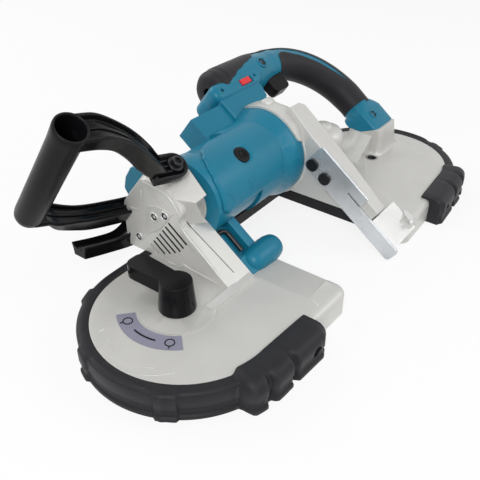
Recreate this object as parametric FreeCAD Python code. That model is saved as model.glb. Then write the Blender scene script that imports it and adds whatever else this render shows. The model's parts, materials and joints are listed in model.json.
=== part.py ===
import FreeCAD, Part
import functools
import math
import os

# Cordless deep-cut portable band saw, lying on its wheel side. Millimetres.
# X runs from the tension end to the drive end, -Y is the blade side, Z is up.
# The throat, the motor, the webs and both handles follow a second set of axes, tilted about X
# through the motor axis: x as before, s away from the blade, e square to both.

V = FreeCAD.Vector
AXIS_X, AXIS_Y, AXIS_Z = V(1, 0, 0), V(0, 1, 0), V(0, 0, 1)

# Clearances
overrun = 2.0
running_fit = 0.05
sliding_gap = 0.3
mesh_gap = 0.4
shortest_edge = 0.02

# Frame castings
wheel_distance = 340.0
wheel_axis_y = 5.0
lobe_radius = 84.0
lobe_wall = 5.0
lobe_corner = 12.0
plate_top = 26.0
plate_wall = 5.0
rim_round = 6.0
skirt_bottom = 2.0
front_throat_x = -60.0
rear_throat_x = 71.0
rear_nose_x = 58.0
rear_nose_y = -56.0
rear_nose_slope = 16.0
tip_flare = 7.0
beam_depth = 14.0
beam_wall = 4.0
blade_mouth = 18.0
hub_ring_radius = 33.0
hub_ring_rise = 1.2
facet_length = 36.0
facet_drop = 3.2
facet_start_y = -9.0
facet_end_y = -70.0
plate_rib_start = 12.0
plate_rib_length = 58.0
plate_rib_width = 8.0
plate_rib_rise = 3.5
plate_rib_y = -10.0
pedestal_start_x = 146.0
pedestal_end_x = 228.0
pedestal_front_y = 12.0
pedestal_width = 30.0
pedestal_top = 49.0

# Rubber rims
bumper_thickness = 5.0
bumper_lap = 5.5
bumper_round = 5.0
bumper_top = 26.8
pad_thickness = 18.0
pad_top = 29.0
pad_near_x = 118.0
pad_far_x = 204.0
pad_lap = 8.0
pad_hole_radius = 5.5
pad_groove_width = 4.0
pad_groove_depth = 3.0
pad_groove_shares = (0.36, 0.68)
lug_width = 16.0
lug_rise = 2.5
lug_angles = (112.0, 157.0, 208.0)
guard_thickness = 4.0
guard_height = 13.0
guard_end_y = -34.0

# Wheels
tyre_gap = 7.0
tyre_depth = 3.0
wheel_bottom = 3.5
wheel_width = 10.0
wheel_rim = 8.0
wheel_web = 4.0
wheel_hub_radius = 18.0
bearing_radius = 13.0
axle_radius = 7.5
axle_bottom = 4.0
axle_bore = 5.0
spoke_hole_count = 6
spoke_hole_radius = 12.0

# Blade tensioner
slack_offset = 3.0
lever_swing = 115.0
slide_length = 74.0
slide_width = 36.0
slide_bottom = 15.4
slide_pocket_floor = 2.0
keeper_width = 8.0
keeper_lip = 3.0
keeper_lip_height = 1.0
lever_x = -170.0
lever_y = 10.0
tension_shaft_radius = 6.0
cam_radius = 6.5
cam_offset = 3.0
cam_play = 1.0
lever_hub_radius = 16.0
lever_hub_top_radius = 13.5
lever_hub_height = 27.0
lever_arm_length = 50.0
lever_arm_root_width = 18.0
lever_arm_end_width = 22.0
lever_arm_height = 13.0
lever_arm_round = 8.0
lever_arm_angle = 88.0
lever_bore_depth = 20.0
label_inner_radius = 34.5
label_outer_radius = 50.0
label_thickness = 0.6
label_start_angle = 138.0
label_sweep = 88.0

# Motor axis and tilted axes
tilt = 36.5
motor_y = 60.0
motor_z = 76.0

# Gear train
wheel_gear_teeth = 65
output_pinion_teeth = 20
wheel_gear_module = 1.6
reduction_teeth = 40
motor_pinion_teeth = 14
bevel_teeth = 40
bevel_pinion_teeth = 18
fine_module = 1.0
tooth_depth_share = 1.6
tooth_shares = ((0.0, 1.0), (0.2, 0.0), (0.5, 0.0), (0.7, 1.0))
bevel_taper_share = 0.6
wheel_gear_width = 5.5
wheel_gear_bore = 60.0
reduction_width = 11.0
counter_angle = 47.0
counter_shaft_radius = 5.0
output_shaft_radius = 6.0
gear_bearing_radius = 13.0
gear_bearing_width = 8.0
reduction_x = 36.5
counter_end_wall = 2.0

# Gear housing
housing_x = 29.0
housing_radius = 52.0
housing_wall = 4.0
housing_length = 33.0
tunnel_radius = 20.0
tower_radius = 29.0
tower_top = 80.0
boss_radius = 13.0
boss_rise = 5.0
web_top_e = 54.0
web_bottom_e = 24.0
web_width = 33.0
web_end_s = -122.0
buttress_width = 24.0
buttress_drop = 18.0

# Motor
motor_radius = 37.0
motor_wall = 3.0
motor_front_x = -98.0
motor_front_radius = 27.0
collar_radius = 38.0
motor_step_x = -80.0
motor_step_length = 8.0
motor_flange_radius = 46.0
motor_flange_width = 12.0
bulge_radius = 40.0
bulge_start_x = -34.0
bulge_end_x = 2.0
neck_start_x = -40.0
neck_end_x = 27.0
neck_width = 26.0
handle_base_s = 60.0
yoke_wall = 3.0
yoke_start_x = -32.0
yoke_length = 48.0
magnet_thickness = 5.0
magnet_gap = 0.6
magnet_span = 130.0
core_start_x = -28.0
core_length = 40.0
armature_shaft_radius = 4.0
commutator_radius = 12.0
commutator_x = -52.0
commutator_length = 14.0
fan_radius = 31.0
fan_x = -70.0
fan_width = 10.0
fan_hub_radius = 9.0
fan_plate = 2.0
fan_blades = 9
fan_blade_thickness = 1.8
motor_bearing_radius = 11.0
motor_bearing_width = 7.0
brush_width = 6.5
brush_cap_radius = 7.5
brush_cap_height = 6.0

# Front motor housing
shroud_front_x = -127.0
shroud_step_x = -117.0
shroud_wall = 4.0
shroud_width = 131.0
shroud_height = 86.0
shroud_low_y = -19.0
shroud_round = 12.0
shroud_taper_share = 0.95
shroud_shares = ((1.0, 0.0), (1.0, 0.56), (0.80, 0.95), (0.57, 0.93), (0.42, 0.74), (0.50, 0.53),
                 (0.02, 0.0))
shroud_hollow_shares = ((0.96, 0.05), (0.96, 0.55), (0.79, 0.90), (0.60, 0.88), (0.50, 0.66),
                        (0.54, 0.46), (0.40, 0.05))
air_hole_radius = 4.0
air_hole_place_share = 0.74
air_hole_angles = (-90.0, -30.0, 30.0, 90.0)
vent_count = 7
vent_width = 2.6
vent_pitch = 6.6
vent_first_e = -3.0
vent_length_shares = (1.0, 1.0, 1.0, 0.9, 0.78, 0.64, 0.46)
vent_length = 25.0
vent_start_s = -8.0
shroud_screw_radius = 2.5
shroud_screw_head_radius = 4.2
shroud_screw_places_share = ((0.745, 0.42), (0.64, 0.51))

# Lamp cover and hex key
cover_end_x = -66.0
cover_start_s = -14.0
cover_end_s = -86.0
cover_bottom_e = -30.0
cover_round = 5.0
lamp_s = -80.0
lamp_radius = 10.5
lamp_start_x = -86.0
lamp_end_x = -50.0
lens_radius = 7.5
lens_thickness = 3.0
board_radius = 6.0
board_thickness = 1.6
key_radius = 2.2
key_bend = 6.0
key_x = -81.0
key_long_start_s = -66.0
key_short_s = -41.0
key_short_end_x = -92.0
key_pocket_depth = 7.0
key_pocket_margin = 3.0

# Blade stop and guides
stop_x = 26.0
stop_thickness = 3.0
stop_top_s = -38.0
stop_shoulder_s = -106.0
stop_end_s = -163.0
stop_low_e = 27.0
stop_high_e = 58.0
stop_slot_e = 44.0
stop_slot_width = 2.4
stop_slot_start_s = -88.0
stop_round = 4.0
stop_bolt_radius = 4.0
stop_bolt_head_radius = 6.2
stop_bolt_head = 3.0
stop_bolt_length = 16.0
stop_bolt_low_s = -63.0
stop_bolt_high_s = -45.0
stop_bolt_e = 36.0
guide_end_x = 76.0
guide_step = 18.0
guide_start_s = -124.0
guide_end_s = -158.0
guide_low_e = 14.0
guide_high_e = 43.0
guide_slot_width = 3.0
guide_slot_start_s = -150.0
guide_slot_end_s = -136.0
guide_slot_top_e = 23.0
front_guide_length = 16.0
front_guide_width = 24.0
guide_roller_radius = 5.0
guide_roller_pin = 2.0
guide_roller_width = 9.0
guide_pin_seat = 3.0

# Main handle
grip_s = 80.5
grip_radius = 14.8
grip_wall = 3.0
grip_bend_x = 114.0
grip_bend_radius = 88.0
rubber_thickness = 1.8
base_start_x = 2.0
base_end_x = 80.0
base_width = 40.0
base_round = 10.0
base_edge_round = 7.0
foot_start_x = 181.0
foot_end_x = 219.0
foot_start_s = -18.0
foot_width = 24.0
foot_round = 7.0
nose_start_x = 24.0
nose_end_x = 92.0
nose_wall = 6.5
nose_solid = 14.0
nose_round = 11.0
terminal_start_x = 42.0
terminal_end_x = 86.0
terminal_width = 28.0
terminal_depth = 12.0
terminal_rail = 3.0
trigger_start_x = 97.0
trigger_end_x = 124.0
trigger_reach = 20.0
trigger_width = 13.0
trigger_travel = 6.0
trigger_round = 6.0
trigger_stem_length = 8.0
switch_depth = 14.0
switch_margin = 3.0
lock_x = 50.0
lock_s = 68.0
lock_length = 15.0
lock_width = 6.5
lock_travel = 4.0
lock_rise = 1.6
lock_depth = 5.0
handle_screw_radius = 2.0
handle_screw_inset = 12.0
handle_screw_s = 70.0
grip_screw_x = 94.5
grip_screw_s = 86.0
leg_screw_s = -28.0
foot_screw_radius = 3.0

# Front handle and hook
tube_x = -230.0
tube_s = 54.0
tube_radius = 13.0
tube_bore = 9.0
tube_low_e = 1.0
tube_high_e = 118.0
front_handle_turn = 16.0
arm_width = 16.0
arm_round = 6.0
arm_reach = 134.0
arm_height = 118.0
upper_arm_shares = ((-0.01, 1.0), (0.11, 1.0), (0.31, 0.87), (0.60, 0.61), (0.80, 0.41), (0.95, 0.35),
                    (1.0, 0.20), (0.98, 0.12), (0.76, 0.27), (0.61, 0.42), (0.45, 0.63), (0.23, 0.83),
                    (0.05, 0.87))
lower_arm_shares = ((-0.01, 0.06), (0.19, -0.04), (0.44, -0.13), (0.73, -0.21), (0.88, -0.25),
                    (0.88, -0.49), (0.82, -0.48), (0.42, -0.31), (0.10, -0.11), (-0.01, -0.07))
arm_bolt_radius = 4.0
arm_bolt_head_radius = 6.5
arm_bolt_head = 6.0
arm_bolt_length = 30.0
arm_bolt_u = 116.0
arm_bolt_e = 40.0
hook_start_x = -116.0
hook_length = 73.0
hook_low_z = 28.0
hook_rise = 38.0
hook_inset = 4.0
hook_width = 14.0
hook_round = 4.0
hook_shares = ((0.0, 0.0), (0.52, 0.32), (0.80, 0.52), (0.96, 0.50), (1.0, 0.98), (0.90, 0.98),
               (0.64, 0.83), (0.30, 0.50), (0.0, 0.46))

# Places worked out from the sizes above
front_axle_x = slack_offset - wheel_distance / 2
beam_inner_y = lobe_radius - beam_depth
tyre_radius = lobe_radius - lobe_wall - tyre_gap
hook_y = shroud_low_y + shroud_width - hook_inset
tension_travel = cam_offset * (1 - math.cos(math.radians(lever_swing)))
rear_axle_x = wheel_distance / 2
plate_bottom = plate_top - plate_wall
wheel_top = wheel_bottom + wheel_width
slide_top = plate_bottom - sliding_gap
blade_y = wheel_axis_y - tyre_radius
wheel_gear_radius = wheel_gear_module * wheel_gear_teeth / 2
output_pinion_radius = wheel_gear_module * output_pinion_teeth / 2
reduction_radius = fine_module * reduction_teeth / 2
motor_pinion_radius = fine_module * motor_pinion_teeth / 2
bevel_radius = fine_module * bevel_teeth / 2
bevel_pinion_radius = fine_module * bevel_pinion_teeth / 2
counter_distance = reduction_radius + motor_pinion_radius + mesh_gap
counter_y = motor_y - counter_distance * math.cos(math.radians(counter_angle))
counter_z = motor_z - counter_distance * math.sin(math.radians(counter_angle))
output_distance = wheel_gear_radius + output_pinion_radius + mesh_gap
output_x = rear_axle_x - math.sqrt(output_distance ** 2 - (counter_y - wheel_axis_y) ** 2)
output_y = counter_y
output_bottom = wheel_top + sliding_gap + running_fit
housing_end_x = housing_x + housing_length
grip_outer_x = grip_bend_x + grip_bend_radius
trigger_s = grip_s - grip_radius
stop_bolt_places = (stop_bolt_low_s, stop_bolt_high_s)
handle_screw_places = ((base_start_x + handle_screw_inset, handle_screw_s),
                       (base_end_x - handle_screw_inset, handle_screw_s), (grip_screw_x, grip_screw_s),
                       (foot_start_x + handle_screw_inset, leg_screw_s))


def face_from(corners):
    """Face of a polygon with corners (x, y, radius), each corner rounded by its radius."""
    count = len(corners)
    arcs = []
    for i, (x, y, radius) in enumerate(corners):
        here = V(x, y, 0)
        back = (V(corners[i - 1][0], corners[i - 1][1], 0) - here).normalize()
        ahead = (V(corners[(i + 1) % count][0], corners[(i + 1) % count][1], 0) - here).normalize()
        half = back.getAngle(ahead) / 2
        run = radius / math.tan(half)
        middle = here + (back + ahead).normalize() * (radius / math.sin(half) - radius)
        arcs.append((here + back * run, middle, here + ahead * run))
    edges = []
    for i, (start, middle, end) in enumerate(arcs):
        if start.distanceToPoint(end) > 0:
            edges.append(Part.Arc(start, middle, end).toShape())
        following = arcs[(i + 1) % count][0]
        if end.distanceToPoint(following) > shortest_edge:
            edges.append(Part.makeLine(end, following))
    return Part.Face(Part.Wire(Part.__sortEdges__(edges)))


def prism(corners, low, high):
    """Rounded polygon in X and Y, from one height to another."""
    face = face_from(corners)
    face.translate(V(0, 0, low))
    return face.extrude(V(0, 0, high - low))


def along_x(corners, low, high):
    """Rounded polygon in Y and Z, from one X to another."""
    shape = prism(corners, low, high)
    shape.Placement = FreeCAD.Placement(V(), FreeCAD.Rotation(V(1, 1, 1), 120)).multiply(shape.Placement)
    return shape


def block(x0, x1, y0, y1, z0, z1):
    """Box between two corners."""
    return Part.makeBox(x1 - x0, y1 - y0, z1 - z0, V(x0, y0, z0))


def rod(radius, low, high, x, y):
    """Upright cylinder."""
    return Part.makeCylinder(radius, high - low, V(x, y, low), AXIS_Z)


def rod_x(radius, low, high, y, z):
    """Cylinder along X."""
    return Part.makeCylinder(radius, high - low, V(low, y, z), AXIS_X)


def rod_y(radius, low, high, x, z):
    """Cylinder along Y."""
    return Part.makeCylinder(radius, high - low, V(x, low, z), AXIS_Y)


def join(shapes):
    """One solid made of overlapping solids."""
    return shapes[0].multiFuse(shapes[1:]).removeSplitter()


def tilted(shape):
    """Bring a shape from the tilted axes x, s, e into place."""
    placed = shape.copy()
    turn = FreeCAD.Placement(V(0, motor_y, motor_z), FreeCAD.Rotation(AXIS_X, tilt))
    placed.Placement = turn.multiply(placed.Placement)
    return placed


def above(shape, height):
    """The part of a shape that lies above a height."""
    box = shape.BoundBox
    cutter = block(box.XMin - overrun, box.XMax + overrun, box.YMin - overrun, box.YMax + overrun,
                   min(box.ZMin, height) - overrun, height)
    return shape.cut(cutter)


def gear(module, teeth, low, high, bore):
    """Upright toothed wheel on the origin; its tips reach the pitch circle."""
    tip = module * teeth / 2
    depth = module * tooth_depth_share
    points = []
    for i in range(teeth):
        for turn_share, depth_share in tooth_shares:
            radius = tip - depth * depth_share
            angle = 2 * math.pi * (i + turn_share) / teeth
            points.append((radius * math.cos(angle), radius * math.sin(angle), 0))
    wheel = prism(points, low, high)
    return wheel.cut(rod(bore, low - overrun, high + overrun, 0, 0))


def turned_to_x(shape, y, z):
    """Lay an upright shape along X, on an axis at y and z."""
    laid = shape.copy()
    laid.Placement = FreeCAD.Placement(V(0, y, z), FreeCAD.Rotation(AXIS_Y, 90)).multiply(laid.Placement)
    return laid


def ring(outer, inner, low, high, x, y):
    """Upright ring."""
    return rod(outer, low, high, x, y).cut(rod(inner, low - overrun, high + overrun, x, y))


def ring_x(outer, inner, low, high, y, z):
    """Ring along X."""
    return rod_x(outer, low, high, y, z).cut(rod_x(inner, low - overrun, high + overrun, y, z))


def motor_rod(radius, low, high):
    """Cylinder on the motor axis."""
    return rod_x(radius, low, high, motor_y, motor_z)


def lobe(side, inset, low, high):
    """Round-ended outline of the front (-1) or rear (1) half of the frame, drawn in by an inset."""
    reach = lobe_radius - inset
    end = side * (wheel_distance / 2 + reach)
    corner = max(lobe_corner - inset, 0)
    wall = front_throat_x - inset if side < 0 else rear_throat_x + inset
    tip = wall if side < 0 else rear_nose_x + inset
    corners = [(wall, reach, 0), (end, reach, reach), (end, -reach, reach), (tip, -reach - tip_flare, corner)]
    if side > 0:
        corners += [(tip, rear_nose_y, lobe_corner), (wall, rear_nose_y + rear_nose_slope, lobe_corner)]
    return prism(corners, low, high)


def lobe_body(side):
    """Frame half as a full block with its upper rim rounded."""
    body = lobe(side, 0, skirt_bottom, plate_top)
    top = [e for e in body.Edges if min(v.Z for v in e.Vertexes) > plate_top - running_fit]
    return body.makeFillet(rim_round, top)


def blade_mouth_box(x0, x1):
    """Cut where the blade leaves a frame half for the throat."""
    return block(x0, x1, blade_y - blade_mouth / 2, blade_y + blade_mouth / 2,
                 skirt_bottom - overrun, plate_bottom - rim_round / 2)


@functools.cache
def main_frame():
    """Cast frame: two hollow round halves open to the floor, joined by a channel behind the throat."""
    beam = block(front_throat_x - lobe_wall, rear_throat_x + lobe_wall, beam_inner_y, lobe_radius,
                 skirt_bottom, plate_top)
    disc = rod(hub_ring_radius, plate_bottom, plate_top + hub_ring_rise, lever_x, lever_y)
    rib = block(lever_x + plate_rib_start, lever_x + plate_rib_start + plate_rib_length,
                plate_rib_y - plate_rib_width, plate_rib_y, plate_bottom, plate_top + plate_rib_rise)
    outline = [(pedestal_start_x, plate_bottom), (pedestal_end_x, plate_bottom),
               (pedestal_end_x, pedestal_top), (foot_start_x, pedestal_top),
               (pedestal_start_x, plate_top), (pedestal_start_x, plate_bottom)]
    side = Part.Face(Part.makePolygon([V(x, pedestal_front_y, z) for x, z in outline]))
    pedestal = side.extrude(V(0, pedestal_width, 0))
    frame = join([lobe_body(-1), lobe_body(1), beam, disc, rib, pedestal])
    frame = frame.cut([lobe(side, lobe_wall, skirt_bottom - overrun, plate_bottom) for side in (-1, 1)])
    frame = frame.cut(block(front_throat_x - lobe_wall - overrun, rear_throat_x + lobe_wall + overrun,
                            beam_inner_y + beam_wall, lobe_radius - lobe_wall, skirt_bottom - overrun,
                            plate_bottom))
    boss = rod(axle_radius + lobe_wall, wheel_top + sliding_gap, plate_bottom + running_fit,
               rear_axle_x, wheel_axis_y)
    frame = join([frame, boss]).cut(facet())
    frame = frame.cut([blade_mouth_box(front_throat_x - lobe_wall - overrun, front_throat_x + overrun),
                       blade_mouth_box(rear_nose_x - overrun, rear_throat_x + lobe_wall + overrun)])
    bores = [rod(tension_shaft_radius + running_fit, plate_bottom - overrun, plate_top + overrun,
                 lever_x, lever_y),
             rod(axle_radius, skirt_bottom, plate_top + overrun, rear_axle_x, wheel_axis_y),
             rod(gear_bearing_radius, plate_bottom - overrun, plate_top + overrun, output_x, output_y),
             foot_screw_rod(foot_screw_radius)]
    return frame.cut(bores)


def facet():
    """Wedge cut that slopes the front plate down to the throat."""
    start = front_throat_x - facet_length
    side = Part.Face(Part.makePolygon([
        V(start, facet_end_y, plate_top), V(front_throat_x + overrun, facet_end_y, plate_top - facet_drop),
        V(front_throat_x + overrun, facet_end_y, plate_top + facet_drop),
        V(start, facet_end_y, plate_top + facet_drop), V(start, facet_end_y, plate_top)]))
    return side.extrude(V(0, facet_start_y - facet_end_y, 0))


@functools.cache
def bumper(side):
    """Rubber rim round a casting: a thin band with lugs and a thick grooved pad on the blade side."""
    axis = side * wheel_distance / 2
    far = side * (wheel_distance / 2 + lobe_radius + pad_thickness + overrun)
    reach = lobe_radius + pad_thickness + overrun

    def span(start, end, low_y, high_y):
        return block(min(start, end), max(start, end), low_y, high_y, -overrun, pad_top + overrun)

    band = lobe(side, -bumper_thickness, 0, bumper_top)
    upper = [e for e in band.Edges if min(v.Z for v in e.Vertexes) > bumper_top - running_fit]
    band = band.makeFillet(bumper_round, upper).common(span(side * pad_near_x, far, -reach, reach))
    band = band.cut(lobe(side, bumper_lap, -overrun, bumper_top + overrun))
    lugs = []
    for angle in lug_angles:
        lug = block(lobe_radius, lobe_radius + bumper_thickness + lug_rise, -lug_width / 2, lug_width / 2,
                    0, bumper_top - lug_rise)
        lug.rotate(V(), AXIS_Z, angle if side < 0 else 180 - angle)
        lug.translate(V(axis, 0, 0))
        lugs.append(lug)
    pad = lobe(side, -pad_thickness, 0, pad_top)
    upper = [e for e in pad.Edges if min(v.Z for v in e.Vertexes) > pad_top - running_fit]
    pad = pad.makeFillet(rim_round, upper)
    pad = pad.common(span(side * pad_near_x, side * pad_far_x, -reach, pad_lap - lobe_radius))
    for share in pad_groove_shares:
        middle = side * (pad_near_x + share * (pad_far_x - pad_near_x))
        groove = span(middle - pad_groove_width / 2, middle + pad_groove_width / 2, -reach,
                      pad_groove_depth - lobe_radius - pad_thickness)
        pad = pad.cut(groove)
    hole = rod_y(pad_hole_radius, -reach, -lobe_radius - bumper_thickness,
                 side * (pad_near_x + pad_thickness), pad_top / 2)
    rim = join([band, pad.cut(hole)] + lugs)
    rim = rim.cut([lobe(side, lobe_wall, -overrun, plate_bottom), main_frame()])
    return max(rim.Solids, key=lambda solid: solid.Volume)


def throat_guard():
    """Rubber strip along the foot of the beam and of the rear throat wall."""
    inner = beam_inner_y - guard_thickness
    along_beam = block(front_throat_x, rear_throat_x, inner, beam_inner_y, 0, guard_height)
    lip = block(front_throat_x, rear_throat_x, beam_inner_y - running_fit, beam_inner_y + beam_wall,
                0, skirt_bottom)
    along_wall = block(rear_throat_x - guard_thickness, rear_throat_x, guard_end_y, beam_inner_y,
                       0, guard_height)
    return join([along_beam, lip, along_wall])


def wheel(x):
    """Blade wheel with rim, web and bearing hub."""
    outer = tyre_radius - tyre_depth
    body = rod(outer, wheel_bottom, wheel_top, x, wheel_axis_y)
    recess = ring(outer - wheel_rim, wheel_hub_radius, wheel_bottom - overrun, wheel_top - wheel_web,
                  x, wheel_axis_y)
    body = body.cut(recess)
    body = body.cut(rod(bearing_radius, wheel_bottom - overrun, wheel_top + overrun, x, wheel_axis_y))
    place = (outer - wheel_rim + wheel_hub_radius) / 2
    holes = []
    for i in range(spoke_hole_count):
        angle = 2 * math.pi * i / spoke_hole_count
        holes.append(rod(spoke_hole_radius, wheel_bottom, wheel_top + overrun,
                         x + place * math.cos(angle), wheel_axis_y + place * math.sin(angle)))
    return body.cut(holes)


def tyre(x):
    """Rubber tyre that carries the blade."""
    return ring(tyre_radius, tyre_radius - tyre_depth, wheel_bottom, wheel_top, x, wheel_axis_y)


def wheel_bearing(x):
    """Bearing in the hub, running on its axle."""
    return ring(bearing_radius, axle_radius + running_fit, wheel_bottom, wheel_top, x, wheel_axis_y)


def tension_slide():
    """Slide that carries the front axle, with a pocket for the tension cam."""
    middle = front_axle_x
    plate = block(middle - slide_length / 2, middle + slide_length / 2, wheel_axis_y - slide_width / 2,
                  wheel_axis_y + slide_width / 2, slide_bottom, slide_top)
    across = cam_radius + cam_play
    reach = cam_radius + cam_offset + sliding_gap
    cam_x = lever_x + cam_offset
    pocket = block(cam_x - across, cam_x + across, lever_y - reach, lever_y + reach,
                   slide_bottom + slide_pocket_floor, slide_top + overrun)
    axle = rod(axle_radius, axle_bottom, slide_bottom, middle, wheel_axis_y)
    return join([plate.cut(pocket), axle])


def slide_keepers():
    """Two lipped rails under the front plate that hold the slide up."""
    rails = []
    for side in (-1, 1):
        inner = wheel_axis_y + side * (slide_width / 2 + sliding_gap)
        outer = inner + side * keeper_width
        lip = inner - side * keeper_lip
        low = slide_bottom - sliding_gap - keeper_lip_height
        start = front_axle_x - slide_length / 2 - tension_travel
        end = front_axle_x + slide_length / 2
        rail = block(start, end, min(inner, outer), max(inner, outer), low, plate_bottom)
        foot = block(start, end, min(lip, outer), max(lip, outer), low, low + keeper_lip_height)
        rails.append(join([rail, foot]))
    return Part.makeCompound(rails)


def tension_shaft():
    """Cam and shaft turned by the lever."""
    cam_low = slide_bottom + slide_pocket_floor + sliding_gap
    cam_top = plate_bottom - sliding_gap / 2
    cam = rod(cam_radius, cam_low, cam_top, lever_x + cam_offset, lever_y)
    top = plate_top + hub_ring_rise + sliding_gap + lever_bore_depth
    return join([cam, rod(tension_shaft_radius, cam_top - running_fit, top, lever_x, lever_y)])


def tension_lever():
    """Lever with a tapered hub and a flat arm that widens to its end."""
    low = plate_top + hub_ring_rise + sliding_gap
    hub = Part.makeCone(lever_hub_radius, lever_hub_top_radius, lever_hub_height, V(lever_x, lever_y, low))
    arm_low = low + lever_hub_height - lever_arm_height
    root = lever_arm_root_width / 2
    end = lever_arm_end_width / 2
    arm = prism([(0, -root, 0), (lever_arm_length, -end, lever_arm_round),
                 (lever_arm_length, end, lever_arm_round), (0, root, 0)], arm_low, low + lever_hub_height)
    arm.rotate(V(), AXIS_Z, lever_arm_angle)
    arm.translate(V(lever_x, lever_y, 0))
    return join([hub, arm]).cut(rod(tension_shaft_radius, low, low + lever_bore_depth, lever_x, lever_y))


def lever_label():
    """Curved plate on the front casting that marks the lever's swing."""
    plate = ring(label_outer_radius, label_inner_radius, plate_top, plate_top + label_thickness,
                 lever_x, lever_y)
    wedge = Part.makeCylinder(label_outer_radius + overrun, label_thickness, V(lever_x, lever_y, plate_top),
                              AXIS_Z, label_sweep)
    wedge.rotate(V(lever_x, lever_y, 0), AXIS_Z, label_start_angle)
    return plate.common(wedge)


def wheel_gear():
    """Ring gear on top of the drive wheel."""
    shape = gear(wheel_gear_module, wheel_gear_teeth, wheel_top, wheel_top + wheel_gear_width,
                 wheel_gear_bore / 2)
    shape.translate(V(rear_axle_x, wheel_axis_y, 0))
    return shape


def rear_axle():
    """Hollow fixed axle of the drive wheel."""
    axle = rod(axle_radius, axle_bottom, plate_top, rear_axle_x, wheel_axis_y)
    return axle.cut(rod(axle_bore, wheel_top, plate_top + overrun, rear_axle_x, wheel_axis_y))


def bevel_height():
    """Height of the bevel gear's large end below the counter shaft."""
    return counter_z - bevel_pinion_radius - mesh_gap


def output_shaft():
    """Upright shaft with the pinion that turns the wheel gear."""
    pinion = gear(wheel_gear_module, output_pinion_teeth, output_bottom,
                  output_bottom + wheel_gear_width, output_shaft_radius - running_fit)
    pinion.translate(V(output_x, output_y, 0))
    stem = rod(output_shaft_radius, output_bottom, bevel_height(), output_x, output_y)
    top = counter_z - counter_shaft_radius - overrun
    neck = rod(counter_shaft_radius, bevel_height() - running_fit, top, output_x, output_y)
    return join([pinion, stem, neck])


def bevel_gear():
    """Large bevel gear on the output shaft."""
    height = bevel_pinion_radius * (1 - bevel_taper_share)
    cone = Part.makeCone(bevel_radius, bevel_radius * bevel_taper_share, height,
                         V(output_x, output_y, bevel_height()))
    return cone.cut(rod(counter_shaft_radius, bevel_height() - overrun, counter_z, output_x, output_y))


def counter_shaft():
    """Shaft from the reduction gear to the small bevel pinion."""
    big_end = output_x - bevel_radius - mesh_gap
    length = bevel_radius * (1 - bevel_taper_share)
    cone = Part.makeCone(bevel_pinion_radius, bevel_pinion_radius * bevel_taper_share, length,
                         V(big_end, counter_y, counter_z), AXIS_X)
    start = housing_x + counter_end_wall + sliding_gap
    return join([rod_x(counter_shaft_radius, start, big_end + running_fit, counter_y, counter_z), cone])


def reduction_gear():
    """Gear on the counter shaft, driven by the motor pinion."""
    shape = gear(fine_module, reduction_teeth, reduction_x, reduction_x + reduction_width,
                 counter_shaft_radius)
    return turned_to_x(shape, counter_y, counter_z)


def counter_bearing_x():
    """Start of the counter shaft's bearing, just behind the housing's inner wall."""
    return housing_end_x - housing_wall


def gear_bearings():
    """Bearings of the output shaft and of the counter shaft."""
    low = ring(gear_bearing_radius, output_shaft_radius + running_fit, plate_top - gear_bearing_width / 2,
               plate_top + gear_bearing_width / 2, output_x, output_y)
    start = counter_bearing_x()
    side = ring_x(gear_bearing_radius, counter_shaft_radius + running_fit, start, start + gear_bearing_width,
                  counter_y, counter_z)
    return Part.makeCompound([low, side])


def web_block():
    """Slanting web towards the blade, with its buttress on the rear plate."""
    x0, x1 = housing_x, housing_x + web_width
    web = block(x0, x1, web_end_s, 0, web_bottom_e, web_top_e)
    brace = Part.Face(Part.makePolygon([
        V(x1 - overrun, web_end_s, web_top_e), V(x1 + buttress_width, web_end_s, web_top_e - buttress_drop),
        V(x1 + buttress_width, web_end_s, -lobe_radius), V(x1 - overrun, web_end_s, -lobe_radius),
        V(x1 - overrun, web_end_s, web_top_e)])).extrude(V(0, -web_end_s, 0))
    return tilted(web), tilted(brace)


def gear_cover():
    """Plate that closes the gear housing and holds the motor's rear bearing and the counter shaft's end."""
    plate = motor_rod(housing_radius - housing_wall, housing_x, housing_x + motor_bearing_width)
    shaft = rod_x(counter_shaft_radius + running_fit, housing_x + counter_end_wall, housing_end_x,
                  counter_y, counter_z)
    bolts = [stop_bolt_rod(stop_bolt_radius + sliding_gap, s) for s in stop_bolt_places]
    return plate.cut([motor_rod(motor_bearing_radius, housing_x - overrun, housing_end_x), shaft] + bolts)


def gear_housing():
    """Gear casing with the web that carries the blade stop and the tower of the output shaft."""
    web, brace = web_block()
    bowl = motor_rod(housing_radius, housing_x, housing_end_x)
    tunnel = rod_x(tunnel_radius, housing_x, output_x, counter_y, counter_z)
    tower = rod(tower_radius, plate_top, tower_top, output_x, output_y)
    boss = rod(boss_radius, tower_top - running_fit, tower_top + boss_rise, output_x, output_y)
    shape = join([bowl, web, brace, tunnel, tower, boss])
    shape = above(shape, plate_top)
    inner = motor_rod(housing_radius - housing_wall, housing_x - overrun, housing_end_x - housing_wall)
    chamber = rod(tower_radius - housing_wall, plate_top - overrun, tower_top - housing_wall,
                  output_x, output_y)
    passage = rod_x(gear_bearing_radius, counter_bearing_x() - overrun, output_x, counter_y, counter_z)
    gear_room = rod_x(reduction_radius + mesh_gap, reduction_x - overrun,
                      reduction_x + reduction_width + overrun, counter_y, counter_z)
    shape = shape.cut(inner).cut(chamber).cut(passage).cut(gear_room)
    seat_ring = ring(tower_radius - running_fit, gear_bearing_radius, plate_top,
                     plate_top + gear_bearing_width / 2, output_x, output_y)
    shape = join([shape, seat_ring])
    shape = shape.cut([stop_bolt_rod(stop_bolt_radius, s) for s in stop_bolt_places])
    return max(shape.Solids, key=lambda solid: solid.Volume)


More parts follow.
